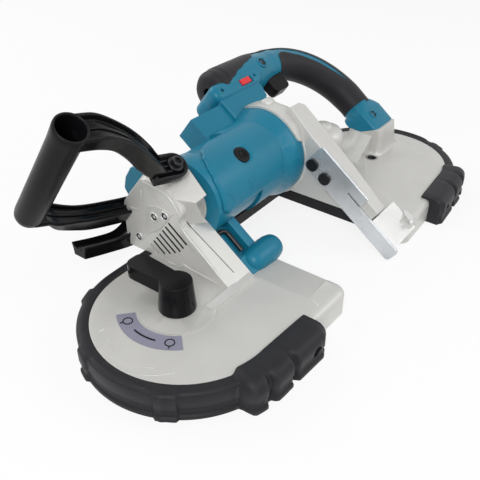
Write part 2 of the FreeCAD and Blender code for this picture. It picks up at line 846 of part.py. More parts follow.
def motor_shape():
    """Outer form of the motor housing: collar, tube, swelling, flared flange and the handle's neck."""
    start = housing_x - motor_flange_width
    flare = Part.makeCone(bulge_radius, motor_flange_radius, start - bulge_end_x,
                          V(bulge_end_x, motor_y, motor_z), AXIS_X)
    neck = tilted(block(neck_start_x, neck_end_x, 0, handle_base_s, -neck_width / 2, neck_width / 2))
    step = Part.makeCone(collar_radius, motor_radius, motor_step_length,
                         V(motor_step_x, motor_y, motor_z), AXIS_X)
    return join([motor_rod(collar_radius, motor_front_x, motor_step_x), step, flare, neck,
                 motor_rod(motor_radius, motor_step_x + motor_step_length, housing_x),
                 motor_rod(bulge_radius, bulge_start_x, bulge_end_x),
                 motor_rod(motor_flange_radius, start, housing_x)])


def motor_housing():
    """Plastic motor tube, closed at the front round the shroud's plug, with flange and handle neck."""
    wide = motor_rod(motor_radius - motor_wall, motor_front_x + shroud_wall, housing_x + overrun)
    narrow = motor_rod(motor_front_radius - motor_wall, motor_front_x - overrun, housing_x)
    return motor_shape().cut([wide, narrow] + brush_rods(brush_cap_radius))


def motor_yoke():
    """Steel tube round the armature."""
    outer = motor_radius - motor_wall
    return ring_x(outer, outer - yoke_wall, yoke_start_x, yoke_start_x + yoke_length, motor_y, motor_z)


def motor_magnets():
    """Two curved magnets inside the yoke."""
    outer = motor_radius - motor_wall - yoke_wall
    tube = ring_x(outer, outer - magnet_thickness, yoke_start_x, yoke_start_x + yoke_length, motor_y, motor_z)
    magnets = []
    for side in (0, 180):
        wedge = Part.makeCylinder(outer, yoke_length, V(yoke_start_x, motor_y, motor_z), AXIS_X, magnet_span)
        wedge.rotate(V(0, motor_y, motor_z), AXIS_X, side - magnet_span / 2)
        magnets.append(tube.common(wedge))
    return Part.makeCompound(magnets)


def armature_shaft():
    """Motor shaft with the pinion cut on its rear end."""
    stem = motor_rod(armature_shaft_radius, front_bearing_x(), reduction_x + running_fit)
    pinion = turned_to_x(gear(fine_module, motor_pinion_teeth, reduction_x, reduction_x + reduction_width,
                              running_fit), motor_y, motor_z)
    return join([stem, pinion])


def on_shaft(radius, start, length):
    """Drum on the motor shaft."""
    return ring_x(radius, armature_shaft_radius, start, start + length, motor_y, motor_z)


def armature_core():
    """Wound core of the motor."""
    radius = motor_radius - motor_wall - yoke_wall - magnet_thickness - magnet_gap
    return on_shaft(radius, core_start_x, core_length)


def cooling_fan():
    """Radial fan behind the front vents."""
    plate = on_shaft(fan_radius, fan_x + fan_width - fan_plate, fan_plate)
    hub = on_shaft(fan_hub_radius, fan_x, fan_width)
    blades = []
    for i in range(fan_blades):
        blade = block(fan_x, fan_x + fan_width, -fan_blade_thickness / 2, fan_blade_thickness / 2,
                      armature_shaft_radius + fan_plate, fan_radius)
        blade.rotate(V(), AXIS_X, 360 * i / fan_blades)
        blade.translate(V(0, motor_y, motor_z))
        blades.append(blade)
    return join([plate, hub] + blades)


def front_bearing_x():
    """Start of the motor's front bearing, in the plug of the shroud."""
    return motor_front_x + shroud_wall - motor_bearing_width


def motor_bearings():
    """Front and rear bearings of the armature."""
    starts = (front_bearing_x(), housing_x)
    return Part.makeCompound([ring_x(motor_bearing_radius, armature_shaft_radius + running_fit, start,
                                     start + motor_bearing_width, motor_y, motor_z) for start in starts])


def brush_rods(radius):
    """Rods through the motor tube at the two brushes, square to the tilted plane."""
    x = commutator_x + commutator_length / 2
    return [tilted(Part.makeCylinder(radius, motor_radius, V(x, 0, 0), V(0, 0, side))) for side in (-1, 1)]


def carbon_brushes():
    """Two brushes that press on the commutator, each backed by its cap."""
    x = commutator_x + commutator_length / 2
    half = brush_width / 2
    low = commutator_radius + sliding_gap
    high = motor_radius - brush_cap_height
    bars = [block(x - half, x + half, -half, half, low, high),
            block(x - half, x + half, -half, half, -high, -low)]
    return Part.makeCompound([tilted(bar) for bar in bars])


def brush_caps():
    """Round caps over the brushes."""
    x = commutator_x + commutator_length / 2
    caps = []
    for side in (-1, 1):
        start = V(x, 0, side * (motor_radius - brush_cap_height))
        caps.append(tilted(Part.makeCylinder(brush_cap_radius, brush_cap_height, start, V(0, 0, side))))
    return Part.makeCompound(caps)


def shroud_points(shares, radius):
    """Corners of the front motor housing in Y and Z."""
    return [(shroud_low_y + u * shroud_width, plate_top + v * shroud_height, radius) for u, v in shares]


def shroud_middle():
    """Point about which the front of the shroud draws in."""
    return shroud_low_y + shroud_width / 2, plate_top


def vents():
    """Slots through the front of the shroud."""
    slots = []
    for i in range(vent_count):
        middle = vent_first_e - i * vent_pitch
        length = vent_length * vent_length_shares[i]
        slot = block(shroud_front_x - overrun, shroud_step_x + shroud_wall, vent_start_s - length,
                     vent_start_s, middle - vent_width / 2, middle + vent_width / 2)
        slots.append(tilted(slot))
    return slots


def shroud_screw_places():
    """Y and Z of the screws on the front of the shroud."""
    return [(shroud_low_y + u * shroud_width, plate_top + v * shroud_height)
            for u, v in shroud_screw_places_share]


def air_holes():
    """Holes that let the air from the fan into the shroud."""
    place = (motor_front_radius - motor_wall) * air_hole_place_share
    holes = []
    for angle in air_hole_angles:
        turn = math.radians(angle)
        holes.append(rod_x(air_hole_radius, motor_front_x - overrun, motor_front_x + shroud_wall + overrun,
                           motor_y + place * math.cos(turn), motor_z + place * math.sin(turn)))
    return holes


@functools.cache
def motor_shroud():
    """Cast front motor housing: tapered face with vents, and a web down to the front plate."""
    outer = shroud_points(shroud_shares, shroud_round)
    outer[-1] = outer[-1][:2] + (0,)
    outer[0] = outer[0][:2] + (0,)
    body = along_x(outer, shroud_step_x, motor_front_x)
    y0, z0 = shroud_middle()
    small = [(y0 + (y - y0) * shroud_taper_share, z0 + (z - z0) * shroud_taper_share, r * shroud_taper_share)
             for y, z, r in outer]
    wires = []
    for corners, x in ((outer, shroud_step_x), (small, shroud_front_x)):
        wires.append(along_x(corners, x, x + overrun).Faces)
    loops = [next(f for f in faces if f.CenterOfMass.x < x + running_fit).OuterWire
             for faces, x in ((wires[0], shroud_step_x), (wires[1], shroud_front_x))]
    taper = Part.makeLoft(loops, True, True)
    hollow = along_x(shroud_points(shroud_hollow_shares, shroud_round / 2), shroud_step_x,
                     motor_front_x + overrun)
    plug = motor_rod(motor_front_radius - motor_wall, motor_front_x - shroud_wall,
                     motor_front_x + shroud_wall)
    plug = plug.common(join([motor_rod(motor_radius, motor_front_x, motor_front_x + shroud_wall),
                             motor_shroud_block()]))
    body = join([join([body, taper]).cut(hollow).cut(vents()), plug])
    body = body.cut(motor_rod(armature_shaft_radius + overrun, shroud_step_x, housing_x))
    body = body.cut(air_holes())
    body = body.cut(motor_rod(motor_bearing_radius, front_bearing_x(), housing_x))
    for y, z in shroud_screw_places():
        body = body.cut(rod_x(shroud_screw_radius, shroud_front_x - overrun, motor_front_x, y, z))
    return body.cut([arm_bolt_shank(), main_frame(), bumper(-1)])


def shroud_screw_rooms():
    """Space in front of the shroud's screws, for their heads and the driver."""
    reach = shroud_front_x - tube_x
    return [rod_x(shroud_screw_head_radius + sliding_gap, shroud_front_x - reach, shroud_front_x, y, z)
            for y, z in shroud_screw_places()]


def shroud_screws():
    """Screws on the front of the shroud."""
    screws = []
    for y, z in shroud_screw_places():
        shank = rod_x(shroud_screw_radius, shroud_front_x, shroud_step_x, y, z)
        head = rod_x(shroud_screw_head_radius, shroud_front_x - shroud_wall / 2, shroud_front_x, y, z)
        screws.append(join([shank, head]))
    return Part.makeCompound(screws)


def lamp_cover():
    """Plastic cover beside the front web, with the lamp housing and the hex key's pocket."""
    body = prism([(motor_front_x, cover_end_s, 0), (cover_end_x, cover_end_s, cover_round),
                  (cover_end_x, cover_start_s, cover_round), (motor_front_x, cover_start_s, 0)],
                 cover_bottom_e, 0)
    lamp = Part.makeCylinder(lamp_radius, lamp_end_x - lamp_start_x, V(lamp_start_x, lamp_s, 0), AXIS_X)
    body = join([body, lamp])
    body = body.cut(block(key_short_end_x - key_pocket_margin, key_x + key_radius + key_pocket_margin,
                          key_long_start_s - key_pocket_margin, key_short_s + key_radius + key_pocket_margin,
                          -key_pocket_depth, lamp_radius))
    body = body.cut(Part.makeCylinder(lens_radius, lens_thickness + board_thickness,
                                      V(lamp_end_x - lens_thickness - board_thickness, lamp_s, 0), AXIS_X))
    body = tilted(body).cut(motor_shape())
    body = body.cut(block(motor_front_x - overrun, front_throat_x, -lobe_radius, lobe_radius, 0, plate_top))
    body = body.cut([motor_shroud(), main_frame()])
    return max(body.Solids, key=lambda solid: solid.Volume)


def lamp_lens():
    """Clear lens of the work lamp."""
    start = V(lamp_end_x - lens_thickness, lamp_s, 0)
    return tilted(Part.makeCylinder(lens_radius, lens_thickness, start, AXIS_X))


def lamp_board():
    """Small board with the light source, behind the lens."""
    start = lamp_end_x - lens_thickness - board_thickness
    return tilted(Part.makeCylinder(board_radius, board_thickness, V(start, lamp_s, 0), AXIS_X))


def hex_key():
    """L-shaped key lying in its pocket."""
    middle = key_radius + sliding_gap - key_pocket_depth
    bend_s = key_short_s - key_bend
    long_leg = Part.makeCylinder(key_radius, bend_s - key_long_start_s,
                                 V(key_x, key_long_start_s, middle), AXIS_Y)
    short_end = key_x - key_bend
    short_leg = Part.makeCylinder(key_radius, short_end - key_short_end_x,
                                  V(key_short_end_x, key_short_s, middle), AXIS_X)
    round_face = Part.Face(Part.Wire(Part.makeCircle(key_radius, V(key_x, bend_s, middle), AXIS_Y)))
    corner = round_face.revolve(V(short_end, bend_s, middle), AXIS_Z, 90)
    return tilted(join([long_leg, corner, short_leg]))


def stop_bolt_rod(radius, s):
    """Rod along X at a bolt of the blade stop."""
    return tilted(Part.makeCylinder(radius, stop_bolt_length, V(stop_x, s, stop_bolt_e), AXIS_X))


def stop_plate():
    """Steel blade stop: a wide bolted end, a slotted tongue and a long narrow bar."""
    profile = [(stop_top_s, stop_low_e, stop_round), (stop_end_s, stop_low_e, stop_round),
               (stop_end_s, stop_slot_e, stop_round), (stop_slot_start_s, stop_slot_e, 0),
               (stop_slot_start_s, stop_slot_e + stop_slot_width, 0),
               (stop_shoulder_s, stop_slot_e + stop_slot_width, 0), (stop_shoulder_s, stop_high_e, 0),
               (stop_top_s, stop_high_e, stop_round)]
    plate = tilted(along_x(profile, stop_x, stop_x + stop_thickness))
    plate = plate.cut([stop_bolt_rod(stop_bolt_radius, s) for s in stop_bolt_places])
    return above(plate, skirt_bottom / 2)


def stop_bolts():
    """Two cap bolts that hold the blade stop."""
    bolts = []
    for s in stop_bolt_places:
        head = Part.makeCylinder(stop_bolt_head_radius, stop_bolt_head,
                                 V(stop_x - stop_bolt_head, s, stop_bolt_e), AXIS_X)
        bolts.append(join([stop_bolt_rod(stop_bolt_radius, s), tilted(head)]))
    return Part.makeCompound(bolts)


def rear_roller_place():
    """Place of the rear guide roller before it is laid along s: X, minus e, and the low end's s."""
    low = (guide_slot_start_s + guide_slot_end_s - guide_roller_width) / 2
    x = (stop_x + stop_thickness + guide_step + rear_nose_x) / 2
    return x, -guide_slot_top_e - guide_roller_radius, low


def laid_along_s(shape):
    """Lay an upright shape along s and bring it into place."""
    shape.rotate(V(), AXIS_X, -90)
    return tilted(shape)


def roller(x, y, low):
    """Guide roller with its pin, upright."""
    drum = rod(guide_roller_radius, low, low + guide_roller_width, x, y)
    pin = rod(guide_roller_pin, low - guide_pin_seat, low + guide_roller_width + guide_pin_seat, x, y)
    return join([drum, pin])


def roller_room(x, y, low):
    """Space that a roller and its pin turn in."""
    drum = rod(guide_roller_radius + sliding_gap, low - sliding_gap,
               low + guide_roller_width + sliding_gap, x, y)
    pin = rod(guide_roller_pin + running_fit, low - guide_pin_seat - sliding_gap,
              low + guide_roller_width + guide_pin_seat + sliding_gap, x, y)
    return join([drum, pin])


def rear_guide():
    """Cast guide block behind the blade stop, with the blade slot open to the floor side."""
    start = stop_x + stop_thickness
    body = join([block(start, guide_end_x, guide_end_s, guide_start_s, stop_low_e, guide_high_e),
                 block(start + guide_step, guide_end_x, guide_end_s, guide_start_s, guide_low_e, stop_low_e)])
    slot = block(start - overrun, guide_end_x + overrun, guide_slot_start_s, guide_slot_end_s,
                 guide_low_e - overrun, guide_slot_top_e)
    body = tilted(body.cut(slot)).cut(laid_along_s(roller_room(*rear_roller_place())))
    body = above(body, skirt_bottom).cut(lobe_body(1))
    return max(body.Solids, key=lambda solid: solid.Volume)


def front_roller_place():
    """X, Y and low end of the front guide roller, beside the blade."""
    x = front_throat_x - lobe_wall - front_guide_length / 2
    return x, blade_y + guide_slot_width / 2 + guide_roller_radius, wheel_bottom + guide_pin_seat


def front_guide():
    """Guide block under the front plate, slotted for the blade."""
    start = front_throat_x - lobe_wall - front_guide_length
    end = front_throat_x - lobe_wall
    low_y = lobe_wall - lobe_radius
    body = block(start, end, low_y, low_y + front_guide_width, skirt_bottom, plate_bottom)
    half = guide_slot_width / 2
    slot = block(start - overrun, end + overrun, blade_y - half, blade_y + half, skirt_bottom - overrun,
                 plate_bottom - guide_pin_seat)
    body = body.cut(slot).cut(roller_room(*front_roller_place()))
    body = body.common(lobe(-1, lobe_wall, skirt_bottom, plate_bottom))
    return max(body.Solids, key=lambda solid: solid.Volume)


def grip_tube(radius, start):
    """Handle tube in the tilted axes: straight along X, a quarter bend, then down to the foot."""
    straight = Part.makeCylinder(radius, grip_bend_x - start, V(start, grip_s, 0), AXIS_X)
    section = Part.Face(Part.Wire(Part.makeCircle(radius, V(grip_bend_x, grip_s, 0), AXIS_X)))
    bend = section.revolve(V(grip_bend_x, grip_s - grip_bend_radius, 0), AXIS_Z, -90)
    end_s = grip_s - grip_bend_radius
    leg = Part.makeCylinder(radius, end_s - foot_start_s + foot_round, V(grip_outer_x, end_s, 0), V(0, -1, 0))
    return join([straight, bend, leg])


def base_box(inset):
    """Lower housing of the handle with rounded long edges, drawn in by an inset."""
    low, high = handle_base_s + inset, grip_s
    corner = base_round - inset
    half = base_width / 2 - inset
    body = prism([(base_start_x + inset, low, corner), (base_end_x - inset, low, corner),
                  (base_end_x - inset, high, 0), (base_start_x + inset, high, corner)], -half, half)
    flat = [e for e in body.Edges if abs(abs(e.CenterOfMass.z) - half) < running_fit
            and abs(e.CenterOfMass.y - high) > running_fit]
    return body.makeFillet(base_edge_round - inset, flat)


def foot_box():
    """Foot of the handle, down past the pedestal."""
    low = -lobe_radius
    return prism([(foot_start_x, low, 0), (foot_end_x, low, 0), (foot_end_x, foot_start_s, foot_round),
                  (foot_start_x, foot_start_s, foot_round)], -foot_width / 2, foot_width / 2)


def trigger_body(gap):
    """Trigger blade and its stem into the grip, grown by a gap."""
    low = trigger_s - trigger_reach - gap
    half = trigger_width / 2 + gap
    blade = prism([(trigger_start_x - gap, low, trigger_round), (trigger_end_x + gap, low, trigger_round),
                   (trigger_end_x + gap, trigger_s + gap, 0), (trigger_start_x - gap, trigger_s + gap, 0)],
                  -half, half)
    stem = block(trigger_start_x + trigger_round - gap, trigger_end_x - trigger_round + gap, trigger_s,
                 trigger_s + trigger_stem_length + gap, -half, half)
    return join([blade, stem])


def trigger_room():
    """Space the trigger sweeps, with its gap."""
    pulled = trigger_body(sliding_gap)
    pulled.translate(V(0, trigger_travel, 0))
    return [trigger_body(sliding_gap), pulled]


def trigger():
    """Pull trigger under the grip."""
    return tilted(trigger_body(0))


def switch_low():
    """Height of the switch's lower face above the trigger's travel."""
    return trigger_s + trigger_stem_length + trigger_travel + sliding_gap


def switch_box(gap):
    """Switch block in the grip, grown by a gap."""
    half = grip_radius - grip_wall - switch_margin
    return block(trigger_start_x - gap, trigger_end_x + gap, switch_low() - gap,
                 switch_low() + switch_depth / 2 + gap, -half - gap, half + gap)


def switch_unit():
    """Switch block that the trigger presses."""
    return tilted(switch_box(0))


def lock_body(gap, travel):
    """Slide switch on the handle's upper side, grown by a gap and stretched by its travel."""
    top = base_width / 2
    half = lock_width / 2 + gap
    return block(lock_x - lock_length / 2 - gap, lock_x + lock_length / 2 + gap + travel,
                 lock_s - half, lock_s + half, top - lock_depth, top + lock_rise)


def lock_switch():
    """Small slide switch on the side of the handle."""
    return tilted(lock_body(0, 0))


def handle_screw_rods(radius, low, high):
    """Rods square to the handle's parting plane at its screws."""
    return [Part.makeCylinder(radius, high - low, V(x, s, low), AXIS_Z) for x, s in handle_screw_places]


def foot_screw_rod(radius):
    """Upright rod through the foot of the handle into the pedestal."""
    x = (foot_start_x + foot_end_x) / 2
    y = pedestal_front_y + pedestal_width / 2
    return rod(radius, plate_top, pedestal_top + foot_width / 2, x, y)


@functools.cache
def handle_shell():
    """Both halves of the main handle as one hollow form, in place."""
    shell = join([grip_tube(grip_radius, nose_start_x + nose_solid), base_box(0), foot_box()])
    hollow = join([grip_tube(grip_radius - grip_wall, nose_start_x + nose_solid + grip_wall),
                   base_box(grip_wall)])
    shell = shell.cut(hollow)
    shell = shell.cut(trigger_room() + [lock_body(sliding_gap, lock_travel)])
    reach = base_width / 2 + overrun
    return shell.cut(handle_screw_rods(handle_screw_radius, -reach, reach))


def handle_half(side):
    """One half of the main handle, split at the parting plane and seated on neck and pedestal."""
    shell = handle_shell()
    box = shell.BoundBox
    low, high = (0, box.ZMax + overrun) if side > 0 else (box.ZMin - overrun, 0)
    half = shell.common(block(box.XMin - overrun, box.XMax + overrun, box.YMin - overrun, box.YMax + overrun,
                              low, high))
    half = above(tilted(half), pedestal_top).cut(foot_screw_rod(foot_screw_radius))
    half = half.cut(motor_rod(housing_radius, housing_x - motor_flange_width, housing_end_x))
    return max(half.Solids, key=lambda solid: solid.Volume)


def handle_grip():
    """Soft grip over the bend of the handle, one shell on each half."""
    outer = grip_radius + rubber_thickness
    section = Part.Face(Part.Wire(Part.makeCircle(outer, V(grip_bend_x, grip_s, 0), AXIS_X)))
    axis = V(grip_bend_x, grip_s - grip_bend_radius, 0)
    sleeve = section.revolve(axis, AXIS_Z, -90).cut([grip_tube(grip_radius, nose_start_x)] + trigger_room())
    box = sleeve.BoundBox
    halves = []
    for low, high in ((0, box.ZMax), (box.ZMin, 0)):
        cutter = block(box.XMin - overrun, box.XMax + overrun, box.YMin - overrun, box.YMax + overrun,
                       low, high)
        halves.append(tilted(sleeve.common(cutter)))
    return Part.makeCompound(halves)


def handle_nose():
    """Rubber cap over the front end of the handle."""
    cap = Part.makeCylinder(grip_radius + nose_wall, nose_end_x - nose_start_x,
                            V(nose_start_x, grip_s, 0), AXIS_X)
    rim = [e for e in cap.Edges if abs(e.CenterOfMass.x - nose_start_x) < running_fit]
    cap = cap.makeFillet(nose_round, rim)
    cap = cap.cut(grip_tube(grip_radius, nose_start_x + nose_solid)).cut(base_box(0)).cut(terminal_box())
    cap = cap.cut(trigger_room())
    return tilted(max(cap.Solids, key=lambda solid: solid.Volume))


def terminal_box():
    """Block that takes the battery, on the far side of the handle's front end."""
    return block(terminal_start_x, terminal_end_x, grip_s - terminal_width / 2, grip_s + terminal_width / 2,
                 -grip_radius - nose_wall - terminal_depth, -grip_radius)


def battery_terminals():
    """Battery connector with two side rails."""
    body = terminal_box().cut([grip_tube(grip_radius, nose_start_x), base_box(0)])
    low = -grip_radius - nose_wall - terminal_depth
    for side in (-1, 1):
        edge = grip_s + side * terminal_width / 2
        inner = edge - side * terminal_rail
        body = body.cut(block(terminal_start_x - overrun, terminal_end_x - terminal_rail, min(edge, inner),
                              max(edge, inner), low + terminal_rail, low + 2 * terminal_rail))
    return tilted(body)


def handle_screws():
    """Screws that clamp both handle halves, and the screw of the foot."""
    screws = []
    for x, s in handle_screw_places:
        top = grip_radius - grip_wall if s > grip_s else base_width / 2 - lock_rise
        if x > grip_bend_x:
            top = foot_width / 2 - lock_rise
        shank = Part.makeCylinder(handle_screw_radius, 2 * top, V(x, s, -top), AXIS_Z)
        screws.append(tilted(shank))
    return Part.makeCompound(screws + [foot_screw_rod(foot_screw_radius)])


def front_handle_place(shape):
    """Bring a shape from the front handle's own plane (u, e, across) into place."""
    placed = shape.copy()
    turn = FreeCAD.Placement(V(tube_x, tube_s, 0), FreeCAD.Rotation(AXIS_Z, -front_handle_turn))
    stand = FreeCAD.Placement(V(), FreeCAD.Rotation(AXIS_X, 90))
    placed.Placement = turn.multiply(stand).multiply(placed.Placement)
    return tilted(placed)


def arm(shares, radius):
    """One arm of the front handle as a flat plate across its plane."""
    corners = [(u * arm_reach, v * arm_height, radius) for u, v in shares]
    return prism(corners, -arm_width / 2, arm_width / 2)


def arm_bolt_shank():
    """Shank of the bolt through the upper arm of the front handle."""
    start = V(arm_bolt_u, arm_bolt_e - arm_bolt_length, 0)
    return front_handle_place(Part.makeCylinder(arm_bolt_radius, arm_bolt_length, start, AXIS_Y))


def arm_bolt_head_rod(length):
    """Head of that bolt, or the room above it."""
    start = V(arm_bolt_u, arm_bolt_e, 0)
    return front_handle_place(Part.makeCylinder(arm_bolt_head_radius, length, start, AXIS_Y))


def front_handle():
    """D-shaped front handle: hollow grip tube and two arms bolted to the shroud."""
    tube = Part.makeCylinder(tube_radius, tube_high_e - tube_low_e, V(0, tube_low_e, 0), AXIS_Y)
    body = join([tube, arm(upper_arm_shares, arm_round / 2), arm(lower_arm_shares, arm_round / 2)])
    body = body.cut(Part.makeCylinder(tube_bore, tube_high_e - tube_low_e,
                                      V(0, tube_low_e + tube_bore, 0), AXIS_Y))
    body = front_handle_place(body).cut(motor_shroud_block())
    body = body.cut([arm_bolt_shank(), arm_bolt_head_rod(arm_height)] + shroud_screw_rooms())
    return max(body.Solids, key=lambda solid: solid.Volume)


@functools.cache
def motor_shroud_block():
    """The shroud and motor tube as a full block, for what seats against them."""
    outer = shroud_points(shroud_shares, shroud_round)
    outer[-1] = outer[-1][:2] + (0,)
    outer[0] = outer[0][:2] + (0,)
    tube = motor_rod(motor_front_radius, motor_front_x, motor_step_x)
    return join([along_x(outer, shroud_front_x, motor_front_x), tube])


def front_handle_bolt():
    """Cap bolt that holds the front handle."""
    return join([arm_bolt_shank(), arm_bolt_head_rod(arm_bolt_head)])


def hanging_hook():
    """Hook beside the front handle, for hanging the tool."""
    outline = [(hook_start_x - u * hook_length, hook_low_z + v * hook_rise, hook_round)
               for u, v in hook_shares]
    plate = face_from(outline).extrude(V(0, 0, hook_width))
    plate.rotate(V(), AXIS_X, 90)
    plate.translate(V(0, hook_y + hook_width / 2, 0))
    plate = plate.cut([motor_shroud_block(), front_handle()])
    return max(plate.Solids, key=lambda solid: solid.Volume)


NODES = {
    "main_frame": main_frame,
    "front_bumper": lambda: bumper(-1),
    "rear_bumper": lambda: bumper(1),
    "throat_guard": throat_guard,
    "front_wheel": lambda: wheel(front_axle_x),
    "front_tyre": lambda: tyre(front_axle_x),
    "front_wheel_bearing": lambda: wheel_bearing(front_axle_x),
    "tension_slide": tension_slide,
    "slide_keepers": slide_keepers,
    "tension_shaft": tension_shaft,
    "tension_lever": tension_lever,
    "lever_label": lever_label,
    "drive_wheel": lambda: wheel(rear_axle_x),
    "drive_tyre": lambda: tyre(rear_axle_x),
    "drive_wheel_bearing": lambda: wheel_bearing(rear_axle_x),
    "wheel_gear": wheel_gear,
    "rear_axle": rear_axle,
    "output_shaft": output_shaft,
    "bevel_gear": bevel_gear,
    "counter_shaft": counter_shaft,
    "reduction_gear": reduction_gear,
    "gear_bearings": gear_bearings,
    "gear_cover": gear_cover,
    "gear_housing": gear_housing,
    "motor_housing": motor_housing,
    "motor_yoke": motor_yoke,
    "motor_magnets": motor_magnets,
    "armature_shaft": armature_shaft,
    "armature_core": armature_core,
    "commutator": lambda: on_shaft(commutator_radius, commutator_x, commutator_length),
    "cooling_fan": cooling_fan,
    "motor_bearings": motor_bearings,
    "carbon_brushes": carbon_brushes,
    "brush_caps": brush_caps,
    "motor_shroud": motor_shroud,
    "shroud_screws": shroud_screws,
    "lamp_cover": lamp_cover,
    "lamp_lens": lamp_lens,
    "lamp_board": lamp_board,
    "hex_key": hex_key,
    "stop_plate": stop_plate,
    "stop_bolts": stop_bolts,
    "rear_guide": rear_guide,
    "rear_guide_roller": lambda: laid_along_s(roller(*rear_roller_place())),
    "front_guide": front_guide,
    "front_guide_roller": lambda: roller(*front_roller_place()),
    "handle_left": lambda: handle_half(1),
    "handle_right": lambda: handle_half(-1),
    "handle_grip": handle_grip,
    "handle_nose": handle_nose,
    "battery_terminals": battery_terminals,
    "trigger": trigger,
    "switch_unit": switch_unit,
    "lock_switch": lock_switch,
    "handle_screws": handle_screws,
    "front_handle": front_handle,
    "front_handle_bolt": front_handle_bolt,
    "hanging_hook": hanging_hook,
}


def build():
    """All nodes, moved so that the middle of the box's underside is the origin."""
    shapes = {name: make() for name, make in NODES.items()}
    whole = FreeCAD.BoundBox()
    for shape in shapes.values():
        whole.add(shape.optimalBoundingBox(False, False))
    shift = V(-whole.Center.x, -whole.Center.y, -whole.ZMin)
    for shape in shapes.values():
        shape.translate(shift)
    return shapes, shift


os.makedirs("parts", exist_ok=True)
for node, solid in build()[0].items():
    solid.exportStep(f"parts/{node}.step")
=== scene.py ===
"""Looks of a cordless portable band saw lying on its wheel side."""
import json
from math import copysign, cos, hypot, pi, radians, sin, sqrt

import bmesh
import bpy
from mathutils import Matrix, Vector


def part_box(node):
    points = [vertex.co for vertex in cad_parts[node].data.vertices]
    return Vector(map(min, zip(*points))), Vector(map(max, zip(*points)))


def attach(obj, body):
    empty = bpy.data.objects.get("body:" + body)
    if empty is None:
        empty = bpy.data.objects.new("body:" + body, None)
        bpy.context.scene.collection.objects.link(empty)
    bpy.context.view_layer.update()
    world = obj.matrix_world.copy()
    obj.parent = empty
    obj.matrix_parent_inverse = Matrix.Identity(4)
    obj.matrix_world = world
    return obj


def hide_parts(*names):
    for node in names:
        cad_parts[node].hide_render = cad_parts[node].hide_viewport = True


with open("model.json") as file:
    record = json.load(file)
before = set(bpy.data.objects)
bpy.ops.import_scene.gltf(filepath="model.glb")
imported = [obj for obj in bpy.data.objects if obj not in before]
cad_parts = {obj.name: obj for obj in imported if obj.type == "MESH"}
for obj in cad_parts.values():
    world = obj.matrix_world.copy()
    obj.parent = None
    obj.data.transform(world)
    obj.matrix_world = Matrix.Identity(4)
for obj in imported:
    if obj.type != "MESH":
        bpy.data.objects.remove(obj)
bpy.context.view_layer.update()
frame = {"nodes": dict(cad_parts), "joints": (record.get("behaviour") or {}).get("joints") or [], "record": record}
nodes = frame["nodes"]
joints = {joint["name"]: joint for joint in frame["joints"]}

# Sizes and places are in millimetres and angles in degrees, unless a comment says otherwise.
MM = 0.001
MOTOR_Y, MOTOR_Z = 60.0, 76.0
PLATE_TOP = 26.0

# The motor axis and the trigger's direction give the tilted axes x, s and e.
motor_axis = Vector(joints["rotor_spin"]["pos_m"])
across = Vector((1, 0, 0))
upwards = Vector((0, 0, 1))
nearer = Vector((0, -1, 0))
along_s = Vector(joints["trigger_pull"]["axis"])
along_e = across.cross(along_s)
lever_axis = Vector(joints["lever_swing"]["pos_m"])
plate_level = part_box("lever_label")[0].z


def tilted(x, s, e):
    """Point in the tilted axes through the motor axis."""
    return Vector((0, motor_axis.y, motor_axis.z)) + (across * x + along_s * s + along_e * e) * MM


def spot(x, y, z):
    """Point from its place along the saw, across it and above the floor."""
    return Vector((x * MM, motor_axis.y + (y - MOTOR_Y) * MM, motor_axis.z + (z - MOTOR_Z) * MM))


def on_plate(x, y, rise):
    """Point above the flat top of the frame, from the lever's axis."""
    return Vector((lever_axis.x + x * MM, lever_axis.y + y * MM, plate_level + rise * MM))


# Materials

CLOUD_SCALE, CLOUD_RANGE = 28.0, (0.3, 0.7)
# Sharp edges are made paler, for wear and as painted highlight.
EDGE_WEAR_AND_HIGHLIGHT_RANGE, EDGE_WEAR_AND_HIGHLIGHT_GAIN, EDGE_WEAR_AND_HIGHLIGHT_LIFT = (0.52, 0.62), 1.6, 0.04
SMOOTHEST, GRAIN_HEIGHT = 0.02, 0.4 * MM
